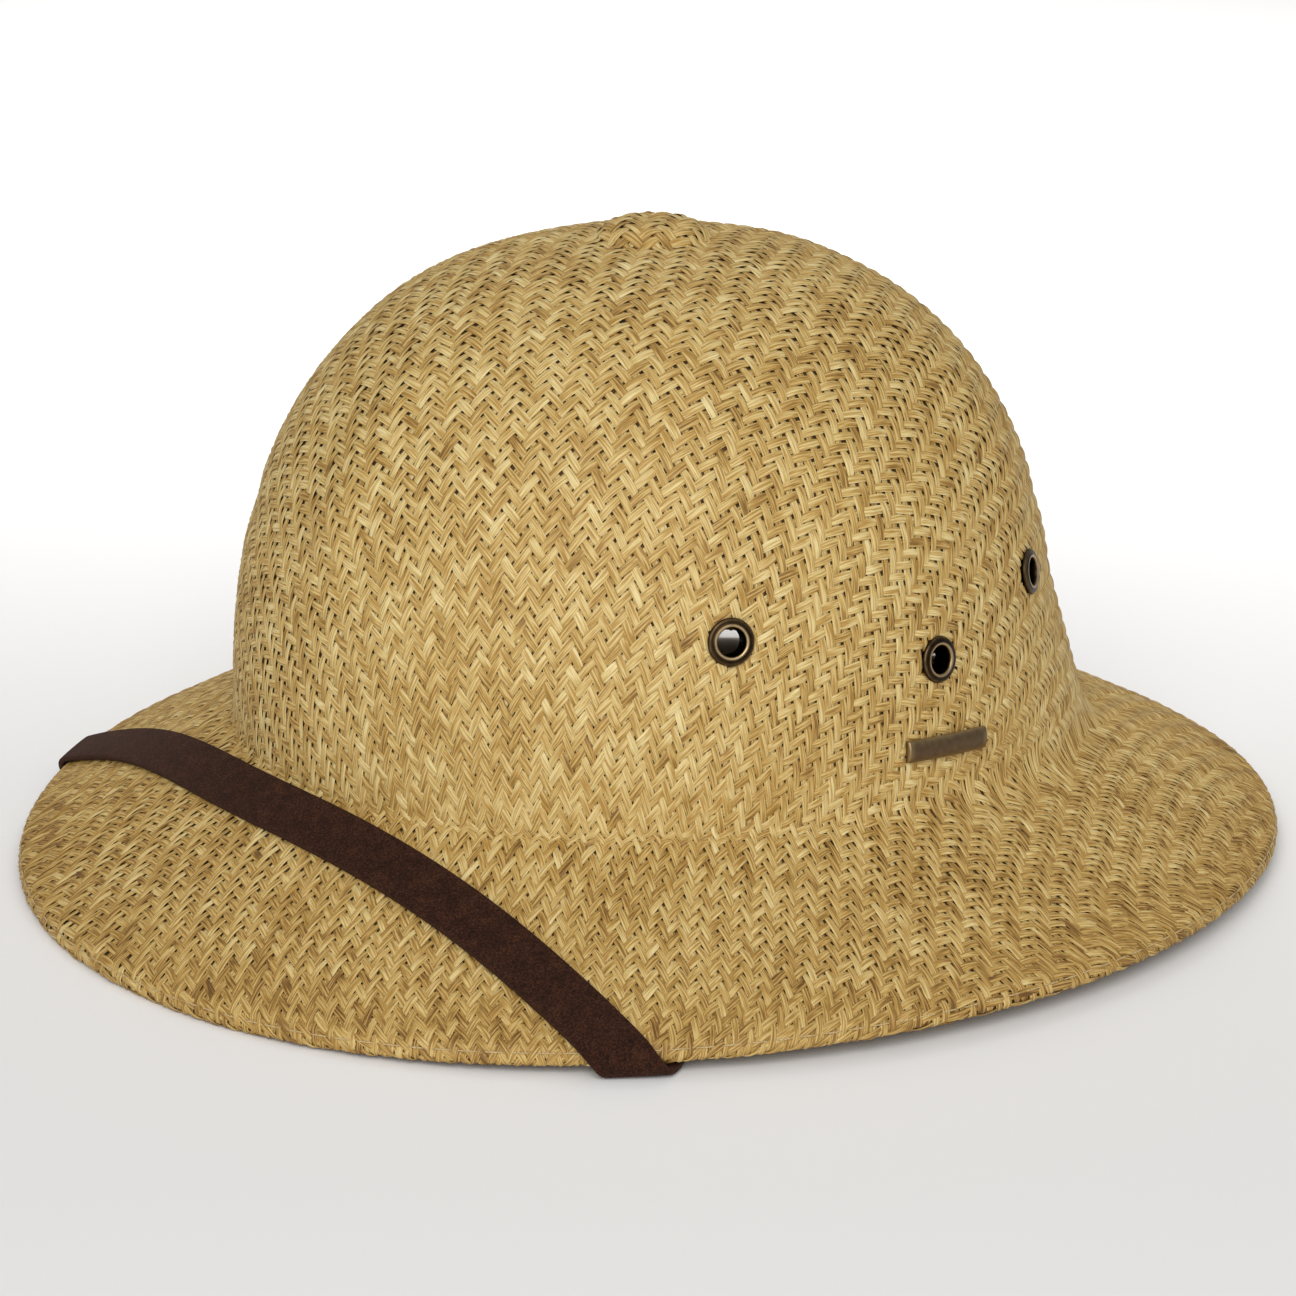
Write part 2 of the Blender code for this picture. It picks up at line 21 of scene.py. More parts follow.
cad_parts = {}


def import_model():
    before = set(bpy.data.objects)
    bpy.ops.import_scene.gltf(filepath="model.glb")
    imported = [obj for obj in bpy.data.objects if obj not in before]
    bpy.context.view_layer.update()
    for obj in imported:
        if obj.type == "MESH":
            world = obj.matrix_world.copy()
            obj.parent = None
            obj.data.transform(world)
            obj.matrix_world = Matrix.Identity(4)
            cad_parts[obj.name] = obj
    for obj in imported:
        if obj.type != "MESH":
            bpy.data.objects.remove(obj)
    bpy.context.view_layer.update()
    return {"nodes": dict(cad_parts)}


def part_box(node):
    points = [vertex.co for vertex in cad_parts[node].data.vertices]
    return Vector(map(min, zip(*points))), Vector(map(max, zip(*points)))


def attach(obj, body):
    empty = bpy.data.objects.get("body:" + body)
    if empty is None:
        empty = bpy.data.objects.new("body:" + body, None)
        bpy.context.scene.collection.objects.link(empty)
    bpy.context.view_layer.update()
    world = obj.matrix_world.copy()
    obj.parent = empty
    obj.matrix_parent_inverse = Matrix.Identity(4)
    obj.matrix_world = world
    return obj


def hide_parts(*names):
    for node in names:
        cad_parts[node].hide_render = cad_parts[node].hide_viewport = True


MM = 0.001
TURN = 2.0 * math.pi
BODY = "root"
SEED = 20
MERGE_DISTANCE = 0.01 * MM
WHITE = "#FFFFFF"

log = logging.getLogger("pith_helmet")


class Slot(Enum):
    """Material slots of the part's record."""

    STRAW = "straw_matting"
    SUEDE = "suede"
    EYELET_BRASS = "antique_brass"
    BAR_BRASS = "badge_brass"


class Family(Enum):
    """The two sets of parallel strands in the matting."""

    WARP = 0
    WEFT = 1


def lerp(start: float, end: float, share: float) -> float:
    """Return the value between start and end at a share of the way."""
    return start + (end - start) * share


def smooth_ramp(value: np.ndarray, low: float, high: float) -> np.ndarray:
    """Return 0 below low, 1 above high and a smooth rise between them."""
    share = np.clip((value - low) / (high - low), 0.0, 1.0)
    return share * share * (3.0 - 2.0 * share)


def degrees_off_front(azimuth: np.ndarray) -> np.ndarray:
    """Return the angle away from the front, from 0 to 180 degrees on either side."""
    return np.degrees(np.abs((azimuth + math.pi) % TURN - math.pi))


def hex_colour(code: str) -> tuple[float, float, float, float]:
    """Turn an sRGB hex colour into linear RGBA.

    Args:
        code: Six hex digits after a hash sign.

    Returns:
        The linear colour, with an alpha of 1.
    """
    channels = []
    for start in (1, 3, 5):
        value = int(code[start:start + 2], 16) / 255.0
        linear = value / 12.92 if value <= 0.04045 else ((value + 0.055) / 1.055) ** 2.4
        channels.append(linear)
    return (channels[0], channels[1], channels[2], 1.0)


def add_node(tree: bpy.types.NodeTree, kind: str, settings: Optional[dict] = None,
             **links: object) -> bpy.types.Node:
    """Add a shader node with its settings and links.

    Args:
        tree: The node tree that takes the node.
        kind: The node's type without its ShaderNode prefix.
        settings: Properties of the node, by name.
        links: Inputs by name, with spaces as underscores, or by number as i0, i1 and so on.
            Each is an output socket to link or a value to set.

    Returns:
        The new node.
    """
    node = tree.nodes.new("ShaderNode" + kind)
    for name, value in (settings or {}).items():
        setattr(node, name, value)
    for name, value in links.items():
        numbered = name[0] == "i" and name[1:].isdigit()
        socket = node.inputs[int(name[1:])] if numbered else node.inputs[name.replace("_", " ")]
        if isinstance(value, bpy.types.NodeSocket):
            tree.links.new(value, socket)
        else:
            socket.default_value = value
    return node


def new_material(name: str) -> tuple[bpy.types.Material, bpy.types.NodeTree]:
    """Start a material that holds nothing but its output.

    Args:
        name: The material's name.

    Returns:
        The material and its node tree.
    """
    material = bpy.data.materials.new(name)
    material.use_nodes = True
    tree = material.node_tree
    tree.nodes.clear()
    return material, tree


def set_surface(tree: bpy.types.NodeTree, **sockets: object) -> None:
    """Add a Principled BSDF with these sockets and send it to the material's output."""
    shader = add_node(tree, "BsdfPrincipled", None, **sockets)
    add_node(tree, "OutputMaterial", None, Surface=shader.outputs[0])


def set_ramp(node: bpy.types.Node, stops: Sequence[tuple[float, str]]) -> bpy.types.NodeSocket:
    """Give a colour ramp its stops.

    Args:
        node: The ramp.
        stops: Position and sRGB hex colour of each stop, in order.

    Returns:
        The ramp's colour output.
    """
    elements = node.color_ramp.elements
    while len(elements) < len(stops):
        elements.new(1.0)
    for element, (position, code) in zip(elements, stops):
        element.position = position
        element.color = hex_colour(code)
    return node.outputs["Color"]


def mesh_from(shape: bmesh.types.BMesh, name: str) -> bpy.types.Mesh:
    """Turn a bmesh into a mesh, and free it."""
    mesh = bpy.data.meshes.new(name)
    shape.to_mesh(mesh)
    shape.free()
    return mesh


def link_object(name: str, data: bpy.types.ID) -> bpy.types.Object:
    """Make an object of a mesh, light or camera and put it in the scene."""
    thing = bpy.data.objects.new(name, data)
    bpy.context.scene.collection.objects.link(thing)
    return thing


def finish_piece(name: str, mesh: bpy.types.Mesh, slot: Optional[Slot],
                 materials: Sequence[bpy.types.Material], replaces: Sequence[str] = ()) -> bpy.types.Object:
    """Make a finished mesh a piece of the helmet.

    Args:
        name: The piece's name.
        mesh: Its mesh, in place.
        slot: The record's slot that its finish belongs to; not used.
        materials: Its materials, in slot order.
        replaces: CAD nodes that it stands for.

    Returns:
        The piece.
    """
    for material in materials:
        mesh.materials.append(material)
    mesh.name = name
    piece = link_object(name, mesh)
    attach(piece, BODY)
    if replaces:
        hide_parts(*replaces)
    triangles = sum(len(polygon.vertices) - 2 for polygon in mesh.polygons)
    log.info("%s: %d triangles", name, triangles)
    return piece


def node_points(node: str) -> np.ndarray:
    """Return the vertices of a CAD node, one row each."""
    return np.array([vertex.co for vertex in bpy.data.objects[node].data.vertices], float)


@dataclass(frozen=True)
class HelmetForm:
    """Outer skin of the pressed shell, as one section at every azimuth."""

    brim_half_width: float
    brim_half_length: float
    crown_half_width: float = 98.0 * MM
    crown_half_length: float = 106.5 * MM
    crown_height: float = 119.0 * MM
    crown_forward: float = 5.0 * MM
    wall_power: float = 2.4
    top_power: float = 2.55
    flare_reach: float = 9.0 * MM
    flare_height: float = 36.0 * MM
    flare_power: float = 1.3
    flare_degrees: tuple[float, float] = (70.0, 145.0)
    crease_radii: tuple[float, float] = (2.2 * MM, 12.0 * MM)
    crease_degrees: tuple[float, float] = (60.0, 120.0)
    lowest_ring: float = 8.0 * MM
    ridge_count: int = 6
    ridge_height: float = 1.3 * MM
    ridge_width: float = 9.0 * MM
    ridge_fade_radius: float = 28.0 * MM
    step_height: float = 54.0 * MM
    step_depth: float = 0.6 * MM
    step_width: float = 5.0 * MM
    button_radius: float = 14.5 * MM
    button_height: float = 4.4 * MM
    button_power: float = 4.0
    button_softness: float = 0.9
    brim_drop_ends: float = 35.5 * MM
    brim_drop_sides: float = 30.9 * MM
    lip_height: float = 4.2 * MM
    lip_radius: float = 3.4 * MM
    rest_span: float = math.radians(15.0)
    wall: float = 2.6 * MM
    turned_under: float = 12.0 * MM
    inner_corner_share: float = 0.6

    BUTTON_RINGS = 20
    CROWN_RINGS = 90
    CREASE_RINGS = 10
    BRIM_RINGS = 30
    LIP_RINGS = 10
    HEM_RINGS = 9

    @classmethod
    def from_frame(cls) -> "HelmetForm":
        """Take the brim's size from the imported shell."""
        low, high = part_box("helmet_shell")
        return cls(brim_half_width=(high.x - low.x) / 2.0, brim_half_length=(high.y - low.y) / 2.0)

    def crown_share(self, height: np.ndarray) -> np.ndarray:
        """Return the share of the crown's base radius at a height above the crease."""
        rise = np.clip(height / self.crown_height, 0.0, 1.0)
        return np.maximum(1.0 - rise ** self.top_power, 0.0) ** (1.0 / self.wall_power)

    def ridge_swell(self, azimuth: np.ndarray, share: np.ndarray, height: np.ndarray) -> np.ndarray:
        """Work out how far the soft ridges and the step push the crown's wall out.

        Args:
            azimuth: Azimuths.
            share: Shares of the crown's base radius there.
            height: Heights above the crease.

        Returns:
            The push, in metres.
        """
        radius = self.crown_half_length * share
        spacing = TURN / self.ridge_count
        off_ridge = (azimuth + spacing / 2.0) % spacing - spacing / 2.0
        above_step = 1.0 / (1.0 + np.exp((self.step_height - height) / self.step_width))
        fade = np.minimum(1.0, radius / self.ridge_fade_radius)
        ridge = self.ridge_height * np.exp(-(off_ridge * radius / self.ridge_width) ** 2)
        ridge = ridge * above_step * fade
        return ridge - self.step_depth * np.exp(-((height - self.step_height) / self.step_width) ** 2)

    def foot_flare(self, azimuth: np.ndarray, height: float) -> np.ndarray:
        """Return how far the crown's foot swings out, which it does towards the back."""
        reach = self.flare_reach * smooth_ramp(degrees_off_front(azimuth), *self.flare_degrees)
        return reach * max(1.0 - height / self.flare_height, 0.0) ** self.flare_power

    def crown(self, azimuth: np.ndarray, height: float) -> np.ndarray:
        """Return points on the outside of the crown at a height above the crease."""
        heights = np.full_like(azimuth, height)
        share = self.crown_share(heights)
        grown = share + self.ridge_swell(azimuth, share, heights) / self.crown_half_length
        across = self.plan(azimuth, 1.0) - self.plan(azimuth, 0.0)
        across /= np.linalg.norm(across, axis=-1, keepdims=True)
        flare = across * self.foot_flare(azimuth, height)[..., None]
        return np.stack([
            self.crown_half_width * grown * np.sin(azimuth) + flare[..., 0],
            -self.crown_half_length * grown * np.cos(azimuth) - self.crown_forward + flare[..., 1],
            self.brim_drop_ends + heights,
        ], -1)

    def plan(self, azimuth: np.ndarray, share: np.ndarray) -> np.ndarray:
        """Return plan positions on the brim: share 0 is the crease and 1 is the edge."""
        half_width = lerp(self.crown_half_width, self.brim_half_width, share)
        half_length = lerp(self.crown_half_length, self.brim_half_length, share)
        forward = self.crown_forward * (1.0 - share)
        return np.stack([half_width * np.sin(azimuth), -half_length * np.cos(azimuth) - forward], -1)

    def edge_height(self, azimuth: np.ndarray) -> np.ndarray:
        """Return the height of the lip's lower edge, which is raised at the sides."""
        rest = math.cos(self.rest_span) ** 2
        towards_side = np.maximum(rest - np.cos(azimuth) ** 2, 0.0) / rest
        return (self.brim_drop_ends - self.brim_drop_sides) * towards_side

    def sections(self, azimuth: np.ndarray) -> np.ndarray:
        """Work out the skin's sections, from the top to the matting's end under the brim.

        Args:
            azimuth: Azimuths, one section each.

        Returns:
            Points, with axes azimuth, station and coordinate.
        """
        reach = np.linalg.norm(self.plan(azimuth, 1.0) - self.plan(azimuth, 0.0), axis=1)
        low = self.edge_height(azimuth)
        slope = np.arctan2(self.brim_drop_ends - low - self.lip_height, reach)
        rows = self.button_rows(azimuth) + self.crown_rows(azimuth)
        for plan_reach, height in self.brim_profile(azimuth, reach, low, slope):
            plan = self.plan(azimuth, plan_reach / reach)
            rows.append(np.concatenate([plan, np.broadcast_to(height, reach.shape)[:, None]], 1))
        return np.stack(rows, 1)

    def button_foot(self) -> float:
        """Return the height of the crown at the covered button's foot."""
        inside = 1.0 - (self.button_radius / self.crown_half_length) ** self.wall_power
        return self.crown_height * inside ** (1.0 / self.top_power)

    def button_rows(self, azimuth: np.ndarray) -> list[np.ndarray]:
        """Return rings on the covered button, from its middle outwards."""
        rim = self.crown(azimuth, self.button_foot())
        middle_y = -self.crown_forward
        rows = []
        for share in np.linspace(0.0, 1.0, self.BUTTON_RINGS)[:-1]:
            height = lerp(self.crown_height, self.button_foot(), share ** self.wall_power)
            rise = self.button_height * (1.0 - share ** self.button_power) ** self.button_softness
            level = np.full_like(azimuth, self.brim_drop_ends + height + rise)
            rows.append(np.stack([rim[:, 0] * share, lerp(middle_y, rim[:, 1], share), level], -1))
        return rows

    def crown_rows(self, azimuth: np.ndarray) -> list[np.ndarray]:
        """Return rings on the crown, from the button's foot to the crease's round."""
        top = math.asin(self.button_foot() / self.crown_height)
        bottom = math.asin(self.lowest_ring / self.crown_height)
        return [self.crown(azimuth, self.crown_height * math.sin(angle))
                for angle in np.linspace(top, bottom, self.CROWN_RINGS)]

    def crease_profile(self, azimuth: np.ndarray,
                       slope: np.ndarray) -> Iterator[tuple[np.ndarray, np.ndarray]]:
        """Yield the hollow round between the crown's wall and the brim."""
        fall = np.tan(slope)
        start = self.foot_flare(azimuth, self.lowest_ring)
        lean = (self.foot_flare(azimuth, self.lowest_ring - MM) - start) / MM
        drop = (self.lowest_ring + start * fall) / (1.0 - lean * fall)
        wall_angle = np.arctan2(1.0, lean)
        softness = smooth_ramp(degrees_off_front(azimuth), *self.crease_degrees)
        radius = lerp(self.crease_radii[0], self.crease_radii[1], softness)
        back_off = radius * np.tan((wall_angle - slope) / 2.0)
        centre = start + lean * drop - back_off * np.cos(wall_angle) + radius * np.sin(wall_angle)
        centre_height = (self.brim_drop_ends + self.lowest_ring - drop
                         + back_off * np.sin(wall_angle) + radius * np.cos(wall_angle))
        for share in np.linspace(0.0, 1.0, self.CREASE_RINGS):
            angle = 1.5 * math.pi - lerp(wall_angle, slope, share)
            yield centre + radius * np.cos(angle), centre_height + radius * np.sin(angle)

    def brim_profile(self, azimuth: np.ndarray, reach: np.ndarray, low: np.ndarray,
                     slope: np.ndarray) -> Iterator[tuple[np.ndarray, np.ndarray]]:
        """Yield the brim's profile as plan distances outside the crease and heights.

        Args:
            azimuth: Azimuths.
            reach: Plan distance from the crease to the edge, for each azimuth.
            low: Height of the lip's lower edge.
            slope: The brim's angle below the level.

        Yields:
            Plan distances and heights of one station.
        """
        crease_level = self.brim_drop_ends
        crease = list(self.crease_profile(azimuth, slope))
        yield from crease
        start = crease[-1][0]
        centre = reach - self.lip_radius
        centre_height = crease_level - centre * np.tan(slope) - self.lip_radius / np.cos(slope)
        end = centre + self.lip_radius * np.sin(slope)
        for share in np.linspace(0.0, 1.0, self.BRIM_RINGS)[1:-1]:
            out = lerp(start, end, share)
            yield out, crease_level - out * np.tan(slope)
        for share in np.linspace(0.0, 1.0, self.LIP_RINGS):
            angle = (1.0 - share) * (math.pi / 2.0 - slope)
            yield (centre + self.lip_radius * np.cos(angle),
                   centre_height + self.lip_radius * np.sin(angle))
        yield from self.fold_profile(reach, low, slope)

    def fold_profile(self, reach: np.ndarray, low: np.ndarray,
                     slope: np.ndarray) -> Iterator[tuple[np.ndarray, np.ndarray]]:
        """Yield the hem's profile: round the lip's lower edge and in under the brim."""
        edge = self.wall / 2.0
        for share in np.linspace(0.0, 1.0, self.HEM_RINGS):
            angle = -share * math.pi
            yield reach - edge + edge * math.cos(angle), low + edge + edge * math.sin(angle)
        inner = low + self.lip_height - self.inner_corner_share * self.lip_radius
        yield reach - self.wall, inner
        yield (reach - self.wall - self.turned_under * np.cos(slope),
               inner + self.turned_under * np.sin(slope))


class Skin:
    """The form's skin as a table of azimuth and distance from the top, read smoothly between."""

    AZIMUTHS = 360
    STATIONS = 720
    LAST_CELL = STATIONS - 1.0001
    SHORTEST = 1e-12

    def __init__(self, form: HelmetForm) -> None:
        """Tabulate the form."""
        self.form = form
        rows = form.sections(np.arange(self.AZIMUTHS) * TURN / self.AZIMUTHS)
        steps = np.linalg.norm(np.diff(rows, axis=1), axis=2)
        self.knots = np.concatenate([[0.0], np.cumsum(steps.mean(0))])
        self.length = float(self.knots[-1])
        stations = np.linspace(0.0, self.length, self.STATIONS)
        self.points = np.empty((self.AZIMUTHS, self.STATIONS, 3))
        for column, section in zip(self.points, rows):
            for axis in range(3):
                column[:, axis] = np.interp(stations, self.knots, section[:, axis])
        self.step = stations[1]
        self.turn_step = TURN / self.AZIMUTHS
        self.normals = self.find_normals()

    def find_normals(self) -> np.ndarray:
        """Return the outward normals of the table's points."""
        along = np.roll(self.points, -1, axis=0) - np.roll(self.points, 1, axis=0)
        down = np.gradient(self.points, axis=1)
        normals = np.cross(down, along)
        normals[:, 0] = (0.0, 0.0, 1.0)
        lengths = np.linalg.norm(normals, axis=2, keepdims=True)
        return normals / np.maximum(lengths, self.SHORTEST)

    def corners(self, azimuth: np.ndarray, station: np.ndarray) -> tuple:
        """Find the table cell of each place.

        Args:
            azimuth: Azimuths.
            station: Distances from the top along the skin.

        Returns:
            Indices of the cell's sides, and the shares of the way across it.
        """
        turn = (azimuth / self.turn_step) % self.AZIMUTHS
        row = np.clip(station / self.step, 0.0, self.LAST_CELL)
        turn_low = np.floor(turn).astype(int)
        row_low = np.floor(row).astype(int)
        turn_share = (turn - turn_low)[..., None]
        row_share = (row - row_low)[..., None]
        turn_low %= self.AZIMUTHS
        return turn_low, (turn_low + 1) % self.AZIMUTHS, row_low, turn_share, row_share

    def slopes(self, azimuth: np.ndarray, station: np.ndarray) -> tuple[np.ndarray, np.ndarray, np.ndarray]:
        """Read points and how they move with azimuth and with distance from the top."""
        left, right, row, across, down = self.corners(azimuth, station)
        near_left, near_right = self.points[left, row], self.points[right, row]
        far_left, far_right = self.points[left, row + 1], self.points[right, row + 1]
        near = near_left * (1 - across) + near_right * across
        far = far_left * (1 - across) + far_right * across
        turning = (near_right - near_left) * (1 - down) + (far_right - far_left) * down
        return near * (1 - down) + far * down, turning / self.turn_step, (far - near) / self.step

    def outward(self, azimuth: np.ndarray, station: np.ndarray) -> np.ndarray:
        """Read unit normals."""
        left, right, row, across, down = self.corners(azimuth, station)
        near = self.normals[left, row] * (1 - across) + self.normals[right, row] * across
        far = self.normals[left, row + 1] * (1 - across) + self.normals[right, row + 1] * across
        mixed = near * (1 - down) + far * down
        return mixed / np.maximum(np.linalg.norm(mixed, axis=-1, keepdims=True), self.SHORTEST)

    def place(self, azimuth: np.ndarray, station: np.ndarray, offset: np.ndarray) -> np.ndarray:
        """Return points at an offset outside the skin."""
        point, _, _ = self.slopes(azimuth, station)
        return point + self.outward(azimuth, station) * np.asarray(offset)[..., None]


@dataclass(frozen=True)
class Harmonic:
    """One smooth way for the matting to shift as it is pressed: a wave round the helmet."""

    wave: str
    order: int

    FADE_DISTANCE = 60.0 * MM
    STEEPEST_FADE = 3

    def values(self, angle: np.ndarray, distance: np.ndarray) -> np.ndarray:
        """Return the wave, faded out at the middle of the matting."""
        turned = self.order * angle
        value = np.cos(turned) if self.wave == "cosine" else np.sin(turned)
        if self.order == 0:
            return value
        faded = np.minimum(distance / self.FADE_DISTANCE, 1.0)
        return value * faded ** min(self.order, self.STEEPEST_FADE)


class Drape:
    """How the flat matting lies on the form.

    A flat sheet of square weave can't lie on a dome without shearing and closing up. The drape
    is a smooth map from the flat sheet to the skin, with the least change of strand spacing and
    the least shear that fit, found by a few Gauss-Newton steps.
    """

    OUTWARD = tuple(Harmonic("cosine", order) for order in (0, 1, 2, 4, 6, 8))
    ROUND = tuple(Harmonic("sine", order) for order in (1, 2, 4, 6, 8))
    HUMPS = 12
    HUMP_STEP = 26.0 * MM
    TEST_SPACING = 10.4 * MM
    TEST_HALF_COUNT = 29
    ROUNDS = 14
    MATTING_TURN = math.radians(-7.0)
    SHEAR_STIFFNESS = 0.42
    SHEAR_LOCK = 0.5
    DAMPING = 0.3
    PULL_BACK = 0.02

    def __init__(self, skin: Skin) -> None:
        """Solve the drape on a skin."""
        self.skin = skin
        self.outward_count = len(self.OUTWARD) * self.HUMPS
        self.shifts = np.zeros(self.outward_count + len(self.ROUND) * self.HUMPS)
        self.solve()

    def humps(self, distance: np.ndarray) -> np.ndarray:
        """Return cubic spline humps at even distances from the middle, a column each."""
        away = np.abs(distance[..., None] / self.HUMP_STEP - np.arange(self.HUMPS))
        inner = 2.0 / 3.0 - away ** 2 + away ** 3 / 2.0
        outer = np.maximum(2.0 - away, 0.0) ** 3 / 6.0
        return np.where(away < 1.0, inner, outer)

    def ways(self, flat: np.ndarray) -> tuple[np.ndarray, np.ndarray, np.ndarray, np.ndarray]:
        """Work out how each shift moves each place of the flat matting.

        Args:
            flat: Places on the flat matting, from its middle.

        Returns:
            Distances and angles on the flat matting, and the ways outward and round.
        """
        distance = np.hypot(flat[..., 0], flat[..., 1])
        angle = np.arctan2(flat[..., 0], -flat[..., 1])
        humps = self.humps(distance)
        outward = [humps * (distance * term.values(angle, distance))[..., None] for term in self.OUTWARD]
        around = [humps * term.values(angle, distance)[..., None] for term in self.ROUND]
        return distance, angle, np.concatenate(outward, -1), np.concatenate(around, -1)

    def lay(self, ways: tuple) -> tuple[np.ndarray, np.ndarray]:
        """Return azimuths and distances from the top for places whose ways are known."""
        distance, angle, outward, around = ways
        station = distance + outward @ self.shifts[:self.outward_count]
        azimuth = angle + self.MATTING_TURN + around @ self.shifts[self.outward_count:]
        return azimuth, station

    def at(self, flat: np.ndarray) -> tuple[np.ndarray, np.ndarray]:
        """Return azimuths and distances from the top for places on the flat matting."""
        return self.lay(self.ways(flat))

    def solve(self) -> None:
        """Find the shifts that keep the strands' spacing and limit their shear."""
        places = np.arange(-self.TEST_HALF_COUNT, self.TEST_HALF_COUNT + 1) * self.TEST_SPACING
        flat = np.stack(np.meshgrid(places, places, indexing="ij"), -1)
        ways = self.ways(flat)
        damping = np.full(len(self.shifts), self.DAMPING ** 2)
        for _ in range(self.ROUNDS):
            slopes, errors = self.misfit(ways)
            step = np.linalg.solve(slopes.T @ slopes + np.diag(damping),
                                   -slopes.T @ errors - self.PULL_BACK * damping * self.shifts)
            self.shifts += step

    def misfit(self, ways: tuple) -> tuple[np.ndarray, np.ndarray]:
        """Measure changes of spacing and shear, and how each shift changes them.

        Args:
            ways: What ways() gave for a square grid of places.

        Returns:
            Slopes, one row for each error and one column for each shift, and the errors.
        """
        azimuth, station = self.lay(ways)
        point, turning, falling = self.skin.slopes(azimuth, station)
        moves = np.concatenate([falling[..., None] * ways[2][..., None, :],
                                turning[..., None] * ways[3][..., None, :]], -1)
        inside = (station > 0.0) & (station < self.skin.length)
        runs = [self.edges(point, moves, inside, axis) for axis in (0, 1)]
        slopes, errors = [], []
        for direction, length, move, kept in runs:
            errors.append((length / self.TEST_SPACING - 1.0)[kept])
            slopes.append(np.einsum("ijk,ijkc->ijc", direction, move)[kept] / self.TEST_SPACING)
        first = tuple(part[:, :-1] for part in runs[0])
        second = tuple(part[:-1] for part in runs[1])
        kept = first[3] & second[3]
        cosine = (first[0] * second[0]).sum(-1)
        towards_first = (second[0] - cosine[..., None] * first[0]) / first[1][..., None]
        towards_second = (first[0] - cosine[..., None] * second[0]) / second[1][..., None]
        slope = (np.einsum("ijk,ijkc->ijc", towards_first, first[2])
                 + np.einsum("ijk,ijkc->ijc", towards_second, second[2]))
        stiffening = self.SHEAR_STIFFNESS * (1.0 + 3.0 * self.SHEAR_LOCK * cosine ** 2)
        errors.append((self.SHEAR_STIFFNESS * (cosine + self.SHEAR_LOCK * cosine ** 3))[kept])
        slopes.append((slope * stiffening[..., None])[kept])
        return np.concatenate(slopes), np.concatenate(errors)

    @staticmethod
    def edges(point: np.ndarray, moves: np.ndarray, inside: np.ndarray, axis: int) -> tuple:
        """Return direction, length, moves and inside flag of the grid's edges along an axis."""
        count = point.shape[axis]
        ahead = np.arange(1, count)
        behind = np.arange(count - 1)
        edge = point.take(ahead, axis) - point.take(behind, axis)
        length = np.linalg.norm(edge, axis=-1) + 1e-9
        move = moves.take(ahead, axis) - moves.take(behind, axis)
        kept = inside.take(ahead, axis) & inside.take(behind, axis)
        return edge / length[..., None], length, move, kept


@dataclass(frozen=True)
class Vent:
    """Where one set eyelet sits, measured on its CAD node."""

    node: str
    centre: Vector
    outward: Vector
    radius: float
    top: float
    back: float

    @classmethod
    def from_node(cls, node: str) -> "Vent":
        """Measure an eyelet's axis and size on its CAD node."""
        points = node_points(node)
        middle = points.mean(0)
        spread, axes = np.linalg.eigh(np.cov((points - middle).T))
        lone = 0 if spread[1] - spread[0] > spread[2] - spread[1] else 2
        axis = axes[:, lone]
        axis = axis if axis @ (middle * (1.0, 1.0, 0.0)) > 0.0 else -axis
        along = (points - middle) @ axis
        radial = np.linalg.norm(points - middle - np.outer(along, axis), axis=1)
        return cls(node, Vector(middle), Vector(axis), float(radial.max()), float(along.max()),
                   float(along.min()))

    def place(self) -> Matrix:
        """Return the place of what is turned about the vent's axis."""
        turned = self.outward.to_track_quat("Z", "Y").to_matrix().to_4x4()
        return Matrix.Translation(self.centre) @ turned


